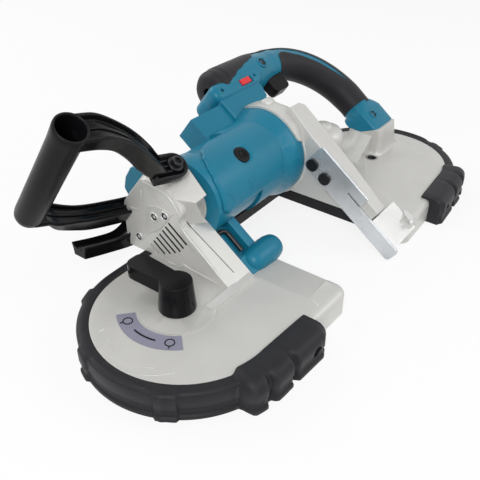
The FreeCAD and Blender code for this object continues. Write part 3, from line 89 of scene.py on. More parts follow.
# Each grain is its strength and scale, and each edge is how far sharp edges are made paler, for wear and as
# painted highlight.
FINISHES = {
    "frame_casting": dict(color=(0.58, 0.575, 0.55), roughness=0.38, grain=(0.10, 2600.0), shade=0.05,
                          metallic=0.15, edge=0.25, spread=0.05),
    # bright_casting is frame_casting made paler and shinier; the pieces built here use it as painted highlight.
    "bright_casting": dict(color=(0.70, 0.70, 0.69), roughness=0.36, grain=(0.15, 2200.0), shade=0.08,
                           metallic=0.5, edge=0.2),
    "black_rubber": dict(color=(0.017, 0.017, 0.020), roughness=0.50, grain=(0.22, 1500.0), shade=0.25,
                         edge=0.5, specular=0.20),
    "gloss_black": dict(color=(0.005, 0.005, 0.006), roughness=0.18, grain=(0.05, 900.0), shade=0.2,
                        edge=0.4, specular=0.13),
    "black_plastic": dict(color=(0.006, 0.006, 0.007), roughness=0.30, grain=(0.10, 1700.0), shade=0.25,
                          edge=0.3, specular=0.10),
    "teal_plastic": dict(color=(0.009, 0.180, 0.285), roughness=0.30, grain=(0.08, 2300.0), shade=0.06,
                         edge=0.15, spread=0.05, specular=0.24),
    "red_plastic": dict(color=(0.72, 0.012, 0.018), roughness=0.30, grain=(0.05, 1500.0), shade=0.08,
                        edge=0.2),
    "label_grey": dict(color=(0.25, 0.25, 0.33), roughness=0.45, grain=(0.04, 2000.0), shade=0.06),
    "zinc_plate": dict(color=(0.62, 0.64, 0.66), roughness=0.26, grain=(0.10, 700.0), shade=0.18,
                       metallic=0.6, edge=0.2),
    "steel": dict(color=(0.46, 0.46, 0.47), roughness=0.30, grain=(0.12, 900.0), shade=0.10, metallic=1.0),
    "dark_steel": dict(color=(0.03, 0.03, 0.033), roughness=0.30, grain=(0.10, 1200.0), shade=0.2,
                       metallic=0.7),
    "copper": dict(color=(0.60, 0.28, 0.14), roughness=0.32, grain=(0.10, 900.0), shade=0.15, metallic=1.0),
    "lens": dict(color=(0.30, 0.36, 0.38), roughness=0.08, grain=(0.0, 900.0), shade=0.05, coat=0.4),
    "board": dict(color=(0.75, 0.72, 0.45), roughness=0.5, grain=(0.05, 900.0), shade=0.1),
}


def new_material(name):
    """Empty node material: itself, a helper that links sockets, its shader, and a helper that adds nodes."""
    material = bpy.data.materials.new(name)
    material.use_nodes = True
    tree = material.node_tree
    shader = tree.nodes["Principled BSDF"]

    def add(kind, **values):
        node = tree.nodes.new(kind)
        for key, value in values.items():
            if key in node.inputs:
                node.inputs[key].default_value = value
            else:
                setattr(node, key, value)
        return node

    return material, tree.links.new, shader, add


def ranged(link, add, value, source, target):
    """Socket with a value carried over from one range to another."""
    node = add("ShaderNodeMapRange")
    for socket, limit in zip(("From Min", "From Max", "To Min", "To Max"), (*source, *target)):
        node.inputs[socket].default_value = limit
    link(value, node.inputs["Value"])
    return node.outputs["Result"]


def wear_and_highlight_edges(link, add, surface, color, share):
    """Colour socket with the sharp edges made paler, for wear and as painted highlight."""
    form = add("ShaderNodeNewGeometry")
    lighter = add("ShaderNodeMix", data_type="RGBA")
    lighter.inputs["B"].default_value = (*[min(1.0, part * EDGE_WEAR_AND_HIGHLIGHT_GAIN + EDGE_WEAR_AND_HIGHLIGHT_LIFT) for part in color], 1.0)
    link(ranged(link, add, form.outputs["Pointiness"], EDGE_WEAR_AND_HIGHLIGHT_RANGE, (0.0, share)), lighter.inputs["Factor"])
    link(surface, lighter.inputs["A"])
    return lighter.outputs["Result"]


def moulded(name, color, roughness, grain, shade, metallic=0.0, edge=0.0, coat=0.0, spread=0.08,
            specular=0.5):
    """Painted, cast or moulded surface: cloudy tone, uneven gloss, fine grain, and sharp edges made paler for wear
    and as painted highlight.
    """
    grain_strength, grain_scale = grain
    material, link, shader, add = new_material(name)
    place = add("ShaderNodeTexCoord")
    cloud = add("ShaderNodeTexNoise", Scale=CLOUD_SCALE, Detail=5.0, Roughness=0.6)
    fine = add("ShaderNodeTexNoise", Scale=grain_scale, Detail=3.0, Roughness=0.7)
    for texture in (cloud, fine):
        link(place.outputs["Object"], texture.inputs["Vector"])
    tint = add("ShaderNodeMix", data_type="RGBA", blend_type="MULTIPLY")
    tint.inputs["Factor"].default_value = 1.0
    tint.inputs["A"].default_value = (*color, 1.0)
    tones = (1.0 - shade, 1.0 + shade / 2)
    link(ranged(link, add, cloud.outputs["Fac"], CLOUD_RANGE, tones), tint.inputs["B"])
    surface = tint.outputs["Result"]
    # Paler sharp edges: wear, and painted highlight.
    if edge:
        surface = wear_and_highlight_edges(link, add, surface, color, edge)
    link(surface, shader.inputs["Base Color"])
    gloss = (max(SMOOTHEST, roughness - spread), min(1.0, roughness + spread))
    link(ranged(link, add, cloud.outputs["Fac"], (0.0, 1.0), gloss), shader.inputs["Roughness"])
    shader.inputs["Metallic"].default_value = metallic
    shader.inputs["Coat Weight"].default_value = coat
    shader.inputs["Specular IOR Level"].default_value = specular
    if grain_strength:
        bump = add("ShaderNodeBump", Strength=grain_strength, Distance=GRAIN_HEIGHT)
        link(fine.outputs["Fac"], bump.inputs["Height"])
        link(bump.outputs["Normal"], shader.inputs["Normal"])
    return material


materials = {name: moulded(name, **values) for name, values in FINISHES.items()}
for part in frame["record"]["subparts"]:
    mesh = nodes[part["node"]].data
    mesh.materials.clear()
    mesh.materials.append(materials[part["material_slot"]])


# Rounded edges

SOFT_EDGES = {
    "main_frame": 1.2, "throat_guard": 1.2, "tension_lever": 1.6, "motor_housing": 1.6, "motor_shroud": 1.6,
    "lamp_cover": 1.6, "stop_plate": 0.4, "rear_guide": 0.8, "handle_left": 1.0, "handle_right": 1.0,
    "lock_switch": 0.6, "trigger": 1.0, "brush_caps": 0.8,
}
WELD_REACH, FLAT_ANGLE, SOFT_SEGMENTS, SOFT_ANGLE = 0.01, 0.5, 3, 38.0


def rounded(piece, width, segments=2, angle=35.0):
    """Round the edges of a piece that are sharper than an angle."""
    bevel = piece.modifiers.new("bevel", "BEVEL")
    bevel.width = width * MM
    bevel.segments = segments
    bevel.limit_method = "ANGLE"
    bevel.angle_limit = radians(angle)
    bevel.harden_normals = True
    return piece


def soften(name, width):
    """Join the facets of a CAD node and round its edges."""
    piece = nodes[name]
    weld = piece.modifiers.new("weld", "WELD")
    weld.merge_threshold = WELD_REACH * MM
    flat = piece.modifiers.new("flat", "DECIMATE")
    flat.decimate_type = "DISSOLVE"
    flat.angle_limit = radians(FLAT_ANGLE)
    rounded(piece, width, SOFT_SEGMENTS, SOFT_ANGLE)


for node_name, edge_width in SOFT_EDGES.items():
    soften(node_name, edge_width)


# Building pieces

MERGE_REACH, TIP_RADIUS = 0.001, 0.02


def finished(piece, slot, body="frame", stands_for=()):
    """Give a piece its material, tie it to its body, and hide the solids that it stands for."""
    piece.data.materials.clear()
    piece.data.materials.append(materials[slot])
    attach(piece, body)
    if stands_for:
        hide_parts(*stands_for)
    return piece


def object_from(name, bm, smooth=True):
    """New mesh object with its faces turned outwards."""
    bmesh.ops.remove_doubles(bm, verts=bm.verts, dist=MERGE_REACH * MM)
    bmesh.ops.recalc_face_normals(bm, faces=bm.faces)
    for face in bm.faces:
        face.smooth = smooth
    mesh = bpy.data.meshes.new(name)
    bm.to_mesh(mesh)
    bm.free()
    piece = bpy.data.objects.new(name, mesh)
    bpy.context.scene.collection.objects.link(piece)
    return piece


def skin(bm, rows, caps=True):
    """Faces between loops of points, with the end loops closed by caps."""
    made = [[bm.verts.new(point) for point in row] for row in rows]
    width = len(made[0])
    for lower, upper in zip(made, made[1:]):
        for i in range(width):
            j = (i + 1) % width
            bm.faces.new((lower[i], lower[j], upper[j], upper[i]))
    if caps:
        bm.faces.new(made[0][::-1])
        bm.faces.new(made[-1])
    return made


def lofted(name, rows, smooth=True):
    """Piece skinned over loops of points."""
    bm = bmesh.new()
    skin(bm, rows)
    return object_from(name, bm, smooth)


def smooth_line(points, steps=8):
    """Points along a smooth line through the given points, of any number of coordinates."""
    points = [Vector(point) for point in points]
    ends = [points[0] * 2 - points[1]] + points + [points[-1] * 2 - points[-2]]
    line = []
    for i in range(1, len(ends) - 2):
        a, b, c, d = ends[i - 1:i + 3]
        for k in range(steps):
            t = k / steps
            line.append(((b * 2) + (c - a) * t + (a * 2 - b * 5 + c * 4 - d) * t ** 2
                         + (b * 3 - a - c * 3 + d) * t ** 3) / 2)
    return line + [points[-1]]


def spread_out(low, high, count):
    """Evenly spaced numbers, both ends included."""
    return [low + (high - low) * i / (count - 1) for i in range(count)]


def full_turn(count):
    """Evenly spaced angles once round, in radians."""
    return [2 * pi * i / count for i in range(count)]


def lathe(bm, profile, start, axis, side, steps=48):
    """Turned form: profile of (radius, height) about an axis."""
    other = axis.cross(side)
    rows = []
    for radius, height in profile:
        row = []
        for turn in full_turn(steps):
            out = side * cos(turn) + other * sin(turn)
            row.append(start + axis * height * MM + out * max(radius, TIP_RADIUS) * MM)
        rows.append(row)
    skin(bm, rows)


def turned(name, profile, start, axis, side, steps=48):
    """Piece turned about an axis."""
    bm = bmesh.new()
    lathe(bm, profile, start, axis, side, steps)
    return object_from(name, bm)


def wire(name, points, radius, slot, cyclic=False):
    """Round bead along points, such as a raised line or a rib."""
    curve = bpy.data.curves.new(name, "CURVE")
    curve.dimensions = "3D"
    curve.bevel_depth = radius * MM
    curve.bevel_resolution = 2
    curve.use_fill_caps = True
    spline = curve.splines.new("POLY")
    spline.points.add(len(points) - 1)
    for knot, point in zip(spline.points, points):
        knot.co = (*point, 1.0)
    spline.use_cyclic_u = cyclic
    holder = bpy.data.objects.new(name + "_line", curve)
    bpy.context.scene.collection.objects.link(holder)
    mesh = bpy.data.meshes.new_from_object(holder.evaluated_get(bpy.context.evaluated_depsgraph_get()))
    bpy.data.objects.remove(holder)
    mesh.name = name
    for face in mesh.polygons:
        face.use_smooth = True
    piece = bpy.data.objects.new(name, mesh)
    bpy.context.scene.collection.objects.link(piece)
    return finished(piece, slot)


def clipped_patch(bm, surface, inside, us, vs):
    """Faces of a grid on a surface, kept where inside(u, v) is above nought and cut along that line."""
    found = {}

    def vertex(u, v):
        key = (round(u, 5), round(v, 5))
        if key not in found:
            found[key] = bm.verts.new(surface(u, v))
        return found[key]

    value = {(i, j): inside(u, v) for i, u in enumerate(us) for j, v in enumerate(vs)}
    for i in range(len(us) - 1):
        for j in range(len(vs) - 1):
            loop = ((i, j), (i + 1, j), (i + 1, j + 1), (i, j + 1))
            kept = []
            for k, here in enumerate(loop):
                after = loop[(k + 1) % 4]
                a, b = value[here], value[after]
                if a > 0:
                    kept.append((us[here[0]], vs[here[1]]))
                if (a > 0) != (b > 0):
                    t = a / (a - b)
                    kept.append((us[here[0]] + (us[after[0]] - us[here[0]]) * t,
                                 vs[here[1]] + (vs[after[1]] - vs[here[1]]) * t))
            corners = []
            for u, v in kept:
                corner = vertex(u, v)
                if corner not in corners:
                    corners.append(corner)
            if len(corners) > 2:
                bm.faces.new(corners)


def sheet(name, surface, inside, us, vs, depth):
    """Piece made of a part of a surface, with a thickness inwards."""
    bm = bmesh.new()
    clipped_patch(bm, surface, inside, us, vs)
    piece = object_from(name, bm)
    shell = piece.modifiers.new("shell", "SOLIDIFY")
    shell.thickness = depth * MM
    shell.offset = -1.0
    return piece


def carved(piece, cutter):
    """Cut one form out of a piece."""
    cut = piece.modifiers.new("cut", "BOOLEAN")
    cut.operation = "DIFFERENCE"
    cut.object = cutter
    cut.solver = "EXACT"
    done = piece.evaluated_get(bpy.context.evaluated_depsgraph_get())
    piece.data = bpy.data.meshes.new_from_object(done)
    piece.modifiers.clear()
    bpy.data.objects.remove(cutter)
    return piece


def cut_beyond(bm, place, facing):
    """Cut away what lies beyond a plane, and close the cut."""
    cut = bmesh.ops.bisect_plane(bm, geom=bm.verts[:] + bm.edges[:] + bm.faces[:], plane_co=place,
                                 plane_no=facing, clear_outer=True)["geom_cut"]
    bmesh.ops.edgenet_fill(bm, edges=[item for item in cut if isinstance(item, bmesh.types.BMEdge)])


def drawn_in(place, middle, inset):
    """Place moved towards a middle."""
    point = Vector(place)
    return point + (Vector(middle) - point).normalized() * inset


def blend(low, high, value):
    """Smooth step from 0 at low to 1 at high."""
    t = min(1.0, max(0.0, (value - low) / (high - low)))
    return t * t * (3 - 2 * t)


def on_table(table, value):
    """Value read from a table of (place, value) pairs, with smooth steps between them."""
    for (low, first), (high, second) in zip(table, table[1:]):
        if value <= high:
            return first + (second - first) * blend(low, high, value)
    return table[-1][1]


def corner_cut(inside, side, end, corner):
    """Distance inside an edge line, with the corner between two of its sides rounded."""
    if side < corner and end < corner:
        return min(inside, corner - hypot(corner - side, corner - end))
    return inside


# Front handle and hook

TUBE_X, TUBE_S, TUBE_TURN = -230.0, 54.0, radians(16.0)
TUBE_PROFILE = ((0.0, 0.0), (6.6, 0.2), (9.4, 1.6), (11.0, 4.6), (11.5, 9.0), (11.5, 60.0), (11.7, 100.0),
                (12.1, 110.0), (12.4, 114.0), (12.2, 116.4), (11.6, 117.2), (10.8, 117.0), (10.3, 115.6),
                (10.0, 110.0), (9.8, 60.0), (9.0, 58.0), (0.0, 57.0))
UPPER_TOP = ((10.6, 116.4, 0.0), (24.0, 115.0, 0.0), (44.0, 104.0, 0.0), (64.0, 88.0, 0.0),
             (84.0, 68.5, 0.0), (96.0, 55.0, 0.0), (105.0, 45.0, 0.0))
UPPER_LOW = ((10.6, 103.0, 0.0), (20.0, 100.5, 0.0), (36.0, 91.5, 0.0), (54.0, 75.5, 0.0),
             (72.0, 56.0, 0.0), (88.0, 41.0, 0.0), (102.0, 33.0, 0.0))
LOWER_TOP = ((10.6, 8.0, 0.0), (26.0, -3.0, 0.0), (56.0, -16.0, -1.5), (92.0, -28.0, -6.0),
             (122.0, -36.0, -10.0))
LOWER_LOW = ((10.6, 2.6, 0.0), (26.0, -15.0, 0.0), (56.0, -35.0, -1.5), (92.0, -49.0, -6.0),
             (122.0, -57.0, -10.0))
# Each row is the place across, whether it is on the top line, and the rise from its line.
BEAM_SECTION = ((6.5, 0, 0.0), (8.5, 0, 2.0), (8.5, 1, -1.4), (7.4, 1, 0.0), (6.2, 1, 0.0), (5.2, 1, -4.0),
                (1.5, 1, -4.0), (0.8, 1, -2.2), (-0.8, 1, -2.2), (-1.5, 1, -4.0), (-5.2, 1, -4.0),
                (-6.2, 1, 0.0), (-7.4, 1, 0.0), (-8.5, 1, -1.4), (-8.5, 0, 2.0), (-6.5, 0, 0.0))
BEAM_SEAT, BEAM_FLARE, BEAM_FLARE_END = 11.2, 0.36, 50.0
PAD_START, PAD_BOLT, PAD_HALF, PAD_LEVEL = 94.0, 117.5, 11.6, 43.0
PAD_ROWS = ((0.8, -11.0), (0.0, -9.5), (0.0, -1.0), (0.7, 0.0), (1.9, 0.0), (2.5, -1.6))
PAD_RIBS, PAD_RIB_DROP = (-5.0, 0.0, 5.0), 1.4
PAD_RIB_ENDS = (PAD_START + 1.5, PAD_BOLT - 6.0)
BOLT_PROFILE = ((0.0, -8.0), (4.0, -8.0), (4.0, -1.5), (7.0, -1.5), (7.0, 0.2), (6.4, 0.8), (5.0, 0.8),
                (5.0, 4.6), (4.4, 5.4), (2.9, 5.4), (2.7, 2.6), (0.0, 2.6))
# Each row is the place along the saw, the top, half the width and the depth.
HOOK_LINE = ((-102.0, 57.0, 9.0, 36.0), (-110.0, 49.0, 9.0, 29.0), (-120.0, 41.5, 8.8, 20.0),
             (-134.0, 38.5, 8.4, 14.0), (-153.0, 43.0, 8.2, 13.0), (-169.0, 48.0, 8.4, 13.0),
             (-181.0, 52.0, 8.6, 13.0))
HOOK_Y = 113.0
# Each row is a share of half the width and the drop from the top, where None is the full depth.
HOOK_SECTION = ((0.0, -5.2), (0.3, -4.6), (0.58, -2.9), (0.82, -0.7), (0.94, 0.0), (1.0, -1.0),
                (0.96, -3.5), (0.86, -7.0), (0.8, None))


def handle_point(u, v, w):
    """Point in the front handle's own plane: u away from the tube, v along it, w across."""
    x = TUBE_X + u * cos(TUBE_TURN) - w * sin(TUBE_TURN)
    s = TUBE_S - u * sin(TUBE_TURN) - w * cos(TUBE_TURN)
    return tilted(x, s, v)


def channel_beam(name, top, low):
    """Arm between two edge lines, with a ribbed channel on top, widening to its seat on the tube."""
    rows = []
    for upper, lower in zip(smooth_line(top), smooth_line(low)):
        run = (upper - lower).normalized()
        flare = 1.0 + BEAM_FLARE * (1.0 - blend(BEAM_SEAT, BEAM_FLARE_END, upper.x))
        row = []
        for w, on_top, rise in BEAM_SECTION:
            point = (upper if on_top else lower) + run * rise
            wide = w * flare
            out = point.x if rows else sqrt(max(0.0, BEAM_SEAT ** 2 - wide ** 2))
            row.append(handle_point(out, point.y, point.z + wide))
        rows.append(row)
    bm = bmesh.new()
    loops = skin(bm, rows, caps=False)
    bm.faces.new(loops[-1])
    return object_from(name, bm)


def pad_loop(inset, level):
    """Outline of the bolted end of the upper arm: square at the arm, round at the bolt."""
    half = PAD_HALF - inset
    points = [(PAD_START + inset, -half)]
    for angle in spread_out(-90.0, 90.0, 17):
        turn = radians(angle)
        points.append((PAD_BOLT + half * cos(turn), half * sin(turn)))
    points.append((PAD_START + inset, half))
    return [handle_point(u, level, w) for u, w in points]


def front_handle():
    """Hollow grip tube and two channelled arms."""
    tube = turned("front_handle_tube", TUBE_PROFILE, handle_point(0, 0, 0), along_e, across)
    finished(tube, "black_plastic", stands_for=("front_handle",))
    for name, top, low in (("upper_arm", UPPER_TOP, UPPER_LOW), ("lower_arm", LOWER_TOP, LOWER_LOW)):
        arm = channel_beam("front_handle_" + name, top, low)
        finished(rounded(arm, 0.7, angle=25.0), "gloss_black")


def front_handle_pad():
    """Ribbed pad at the end of the upper arm, with its bolt."""
    pad = lofted("front_handle_pad", [pad_loop(inset, PAD_LEVEL + rise) for inset, rise in PAD_ROWS])
    finished(pad, "gloss_black")
    for i, w in enumerate(PAD_RIBS):
        rib = [handle_point(u, PAD_LEVEL - PAD_RIB_DROP, w) for u in PAD_RIB_ENDS]
        wire(f"front_handle_pad_rib_{i}", rib, 0.8, "gloss_black")
    place = handle_point(PAD_BOLT, PAD_LEVEL, 0)
    bolt = turned("front_handle_bolt_head", BOLT_PROFILE, place, along_e, across, 36)
    finished(rounded(bolt, 0.3), "dark_steel", stands_for=("front_handle_bolt",))


def hanging_hook():
    """Hook with a saddle along its top and a flat end."""
    rows = []
    for x, top, half, depth in smooth_line(HOOK_LINE, 6):
        right = [(side * half, top + (-depth if drop is None else drop)) for side, drop in HOOK_SECTION]
        loop = right + [(-y, z) for y, z in reversed(right[1:])]
        rows.append([spot(x, HOOK_Y + y, z) for y, z in loop])
    hook = rounded(lofted("hanging_hook_saddle", rows), 0.8, angle=40.0)
    finished(hook, "gloss_black", stands_for=("hanging_hook",))


front_handle()
front_handle_pad()
hanging_hook()


# Main handle

GRIP_S, GRIP_START, GRIP_BEND, BEND_RADIUS = 80.5, 24.0, 114.0, 88.0
GRIP_STRAIGHT = GRIP_BEND - GRIP_START
# Radius of the skin, and the angles of its colour edges, by the place along the handle.
SKIN_RADIUS = ((-8.0, 5.0), (-6.8, 12.0), (-4.0, 17.6), (1.0, 20.6), (8.0, 20.8), (8.6, 21.6), (58.0, 21.2),
               (92.0, 18.0), (104.0, 17.0), (160.0, 17.6), (214.0, 17.2), (232.0, 16.6))
TOP_EDGE = ((0.0, 180.0), (6.0, 108.0), (14.0, 100.0), (30.0, 86.0), (48.0, 74.0), (60.0, 66.0),
            (70.0, 47.0), (80.0, 44.0), (90.0, 50.0), (98.0, 46.0), (110.0, 56.0), (130.0, 67.0),
            (150.0, 75.0), (180.0, 82.0), (205.0, 88.0), (224.0, 90.0))
STREAK_EDGE = ((96.0, 74.0), (112.0, 79.0), (130.0, 91.0), (150.0, 98.0), (180.0, 101.0), (200.0, 96.0),
               (208.0, 90.0), (224.0, 80.0))
GRIP_EDGE_START, GRIP_EDGE_END, GRIP_CORNER = 103.0, 237.0, 9.0
TRIGGER_HALF, TRIGGER_FROM, TRIGGER_TO = 7.6, 72.0, 101.5
NOSE_STEPS, SKIN_END = (-8.0, -7.5, -6.8, -5.5, -4.0, -2.0), 240.0
COVER_LIFT, COVER_DEPTH, COVER_OVERLAP, SHELL_DEPTH = 0.8, 1.4, 0.6, 1.2


def grip_point(t, turn, lift=0.0):
    """Point on the skin of the main handle: t along it, turn about it from the outer side."""
    if t < GRIP_STRAIGHT:
        middle, out = Vector((GRIP_START + t, GRIP_S)), Vector((0.0, 1.0))
    else:
        angle = (t - GRIP_STRAIGHT) / BEND_RADIUS
        out = Vector((sin(angle), cos(angle)))
        middle = Vector((GRIP_BEND, GRIP_S - BEND_RADIUS)) + out * BEND_RADIUS
    radius = on_table(SKIN_RADIUS, t) + lift
    place = middle + out * radius * cos(radians(turn))
    return tilted(place.x, place.y, radius * sin(radians(turn)))


def black_cover(t, turn):
    """Above nought where the handle is covered in black: the distance from the edge."""
    arc = on_table(SKIN_RADIUS, t) * radians(1.0)
    top = (on_table(TOP_EDGE, t) - abs(turn)) * arc
    upper = (abs(turn) - on_table(STREAK_EDGE, t)) * arc
    start = t - GRIP_EDGE_START
    grip = corner_cut(min(upper, start), upper, start, GRIP_CORNER)
    return max(top, min(grip, GRIP_EDGE_END - t))


def trigger_slot(t, turn):
    """Above nought away from the slot of the trigger."""
    across_slot = (180.0 - abs(turn)) * radians(1.0) * on_table(SKIN_RADIUS, t)
    return max(across_slot - TRIGGER_HALF, TRIGGER_FROM - t, t - TRIGGER_TO)


def main_handle_skin():
    """Black cover of the main handle with its streak, and the teal shell between."""
    turns = spread_out(-180.0, 180.0, 97)
    steps = [*NOSE_STEPS, *spread_out(0.0, SKIN_END, 121)]
    cover = sheet("handle_cover", lambda t, turn: grip_point(t, turn, COVER_LIFT),
                  lambda t, turn: min(black_cover(t, turn), trigger_slot(t, turn)), steps, turns, COVER_DEPTH)
    finished(cover, "black_rubber", stands_for=("handle_grip", "handle_nose"))
    shell = sheet("handle_shell", grip_point,
                  lambda t, turn: min(COVER_OVERLAP - black_cover(t, turn), trigger_slot(t, turn)),
                  steps, turns, SHELL_DEPTH)
    finished(shell, "teal_plastic")


main_handle_skin()


# Lamp

LAMP_X, LAMP_S = -66.0, -80.0
DOME_PROFILE = ((0.0, -27.0), (4.6, -26.4), (8.6, -24.2), (11.2, -20.4), (12.2, -14.0), (12.8, -4.0),
                (13.0, 3.0), (12.6, 9.0), (11.6, 13.5), (11.0, 15.4), (10.2, 16.4), (8.6, 16.4), (8.4, 14.0))
BEZEL_PROFILE = ((8.8, 15.0), (8.8, 17.2), (8.2, 17.6), (7.6, 17.2), (7.5, 15.0))
LAMP_BASE = ((-97.6, -70.5), (-97.6, -90.0), (-80.0, -90.0), (-74.0, -84.0), (-74.0, -70.5))
LAMP_BASE_LEVELS = (-2.0, 4.4)


def lamp():
    """Rounded lamp housing with a black bezel."""
    place = tilted(LAMP_X, LAMP_S, 0.0)
    finished(turned("lamp_dome", DOME_PROFILE, place, across, along_s), "teal_plastic")
    finished(turned("lamp_bezel", BEZEL_PROFILE, place, across, along_s), "gloss_black")
    rows = [[tilted(x, s, e) for x, s in LAMP_BASE] for e in LAMP_BASE_LEVELS]
    finished(rounded(lofted("lamp_base", rows, smooth=False), 1.4, segments=3), "teal_plastic")


lamp()


# Rubber rims

RIM_CENTRE, RIM_RADIUS, RIM_END, RIM_FLARE = 170.0, 84.0, 118.0, 0.064
RIM_OUT, RIM_TOP, RIM_LAP, RIM_BEND, RIM_SEAT = 5.0, 26.8, 5.5, 3.6, 25.8
RIM_LIP = ((0.3, -0.5), (1.4, 0.0))
RIM_GROOVE = ((0.0, 13.0), (-1.1, 11.6), (-1.1, 4.8), (0.2, 3.4), (0.2, 0.4), (-0.6, 0.0))
RIM_INSIDE = [(0.4, 0.0), (0.4, 25.4)]
# The pad on the blade side is less thick at its end, and laps further over the frame than the rim.
RIM_PAD_FROM, RIM_PAD_SIDE, RIM_PAD_EASE, RIM_PAD_OUT, RIM_PAD_TOP = 206.0, -40.0, 7.0, 17.5, 29.5
RIM_PAD_END_OUT, RIM_PAD_END_TOP, RIM_PAD_LAP, RIM_PAD_BEND = 0.72, 0.85, 3.0, 6.0
NOTCHES, NOTCH_DEPTH, NOTCH_EDGES = (186.0, 161.0), 5.0, (0.8, 4.6)
PAD_HOLE, PAD_HOLE_PROFILE = (134.0, -94.0, 13.5), ((5.2, -9.0), (5.2, 40.0))
LUGS, LUG_HEIGHT, LUG_EASE = ((112.0, 5.0), (157.0, 4.0), (206.5, 1.6), (211.5, 3.4)), 2.4, 0.9
RIB_FROM, RIB_TO, RIB_SHIFT, RIB_LEVEL = 164.0, 201.0, 1.6, 26.2
RIB_HALF, RIB_RISE, RIB_TIP = 2.6, 1.9, 0.02


def rim_path():
    """Places along a rim from far to near: distance from the saw's middle, y, outward x and y, angle."""
    path = [(x, RIM_RADIUS, 0.0, 1.0, 90.0) for x in spread_out(RIM_END, RIM_CENTRE - 4.0, 8)]
    for angle in spread_out(90.0, 270.0, 145):
        turn = radians(angle)
        path.append((RIM_CENTRE - RIM_RADIUS * cos(turn), RIM_RADIUS * sin(turn), -cos(turn),
                     sin(turn), angle))
    for x in spread_out(RIM_CENTRE - 1.0, RIM_END, 53):
        path.append((x, -RIM_RADIUS - RIM_FLARE * (RIM_CENTRE - x), 0.0, -1.0, 270.0))
    return path


def rim_section(x, y, angle):
    """Outline of the rim at one place, as (outwards, height)."""
    pad = blend(RIM_PAD_FROM, RIM_PAD_FROM - RIM_PAD_EASE, x) if y < RIM_PAD_SIDE else 0.0
    ends = blend(RIM_END, RIM_END + RIM_PAD_EASE, x)
    out = RIM_OUT + (RIM_PAD_OUT - RIM_OUT) * pad * (RIM_PAD_END_OUT + (1.0 - RIM_PAD_END_OUT) * ends)
    for notch in NOTCHES:
        out -= NOTCH_DEPTH * pad * (1.0 - blend(*NOTCH_EDGES, abs(x - notch)))
    for place, half in LUGS:
        out += LUG_HEIGHT * (1.0 - blend(half, half + LUG_EASE, abs(angle - place))) * (1.0 - pad)
    top = RIM_TOP + (RIM_PAD_TOP - RIM_TOP) * pad * (RIM_PAD_END_TOP + (1.0 - RIM_PAD_END_TOP) * ends)
    lap = RIM_LAP + RIM_PAD_LAP * pad
    bend = RIM_BEND + RIM_PAD_BEND * pad
    loop = [(-lap, RIM_SEAT)] + [(-lap + shift, top + rise) for shift, rise in RIM_LIP]
    for step in spread_out(0.0, 90.0, 5):
        turn = radians(step)
        loop.append((out - bend + bend * sin(turn), top - bend + bend * cos(turn)))
    return loop + [(out + shift, height) for shift, height in RIM_GROOVE] + RIM_INSIDE


def rubber_rim(side, node):
    """Rubber rim with lugs, and a thick notched pad with a hole on the blade side."""
    rows = []
    for x, y, out_x, out_y, angle in rim_path():
        rows.append([spot(side * (x + out * out_x), y + out * out_y, height)
                     for out, height in rim_section(x, y, angle)])
    rim = lofted(node + "_rim", rows)
    x, y, z = PAD_HOLE
    rim = carved(rim, turned("pad_hole", PAD_HOLE_PROFILE, spot(side * x, y, z), nearer, across, 32))
    for face in rim.data.polygons:
        face.use_smooth = True
    finished(rounded(rim, 0.5, angle=40.0), "black_rubber", stands_for=(node,))


def rim_rib(side, node):
    """Rib along the top of a rim, at the end of the saw."""
    rows = []
    for angle in spread_out(RIB_FROM, RIB_TO, 41):
        turn = radians(angle)
        share = abs((angle - (RIB_FROM + RIB_TO) / 2) / (RIB_TO - RIB_FROM) * 2)
        taper = sqrt(max(RIB_TIP, 1.0 - share ** 6))
        row = []
        for around in full_turn(12):
            reach = RIM_RADIUS + RIB_SHIFT + RIB_HALF * taper * cos(around)
            row.append(spot(side * (RIM_CENTRE - reach * cos(turn)), reach * sin(turn),
                            RIB_LEVEL + RIB_RISE * taper * sin(around)))
        rows.append(row)
    finished(lofted(node + "_rib", rows), "black_rubber")


for rim_side, rim_node in ((-1, "front_bumper"), (1, "rear_bumper")):
    rubber_rim(rim_side, rim_node)
    rim_rib(rim_side, rim_node)


# Front plate

PLATE_TICKS = (((-229.0, 39.6), (-224.6, 39.1)), ((-95.7, -75.3), (-99.3, -83.0)))
PLATE_LINES = (((-230.4, 27.9), (-238.2, 13.4), (-238.0, -7.9), (-232.1, -21.5)),
               ((-245.0, 20.0), (-246.0, 0.0), (-241.5, -20.3), (-228.4, -35.1), (-225.7, -34.4)))
LABEL_RADIUS, LABEL_RISE, LABEL_RINGS, LABEL_RING_RADIUS = 42.3, 0.75, (151.0, 213.0), 3.8
LABEL_STEM, LABEL_BAR = (1.09, 1.15), (168.0, 197.0)


def plate_lines():
    """Raised ticks, made paler as painted highlight, and raised lines on the front plate."""
    for i, line in enumerate(PLATE_TICKS):
        wire(f"plate_tick_{i}", [spot(x, y, PLATE_TOP) for x, y in line], 0.6, "bright_casting")
    for i, line in enumerate(PLATE_LINES):
        points = smooth_line([spot(x, y, PLATE_TOP) for x, y in line])
        wire(f"plate_line_{i}", points, 0.45, "frame_casting")


def label_place(angle):
    """Place on the label's middle line, from the lever's axis."""
    turn = radians(angle)
    return LABEL_RADIUS * cos(turn), LABEL_RADIUS * sin(turn)


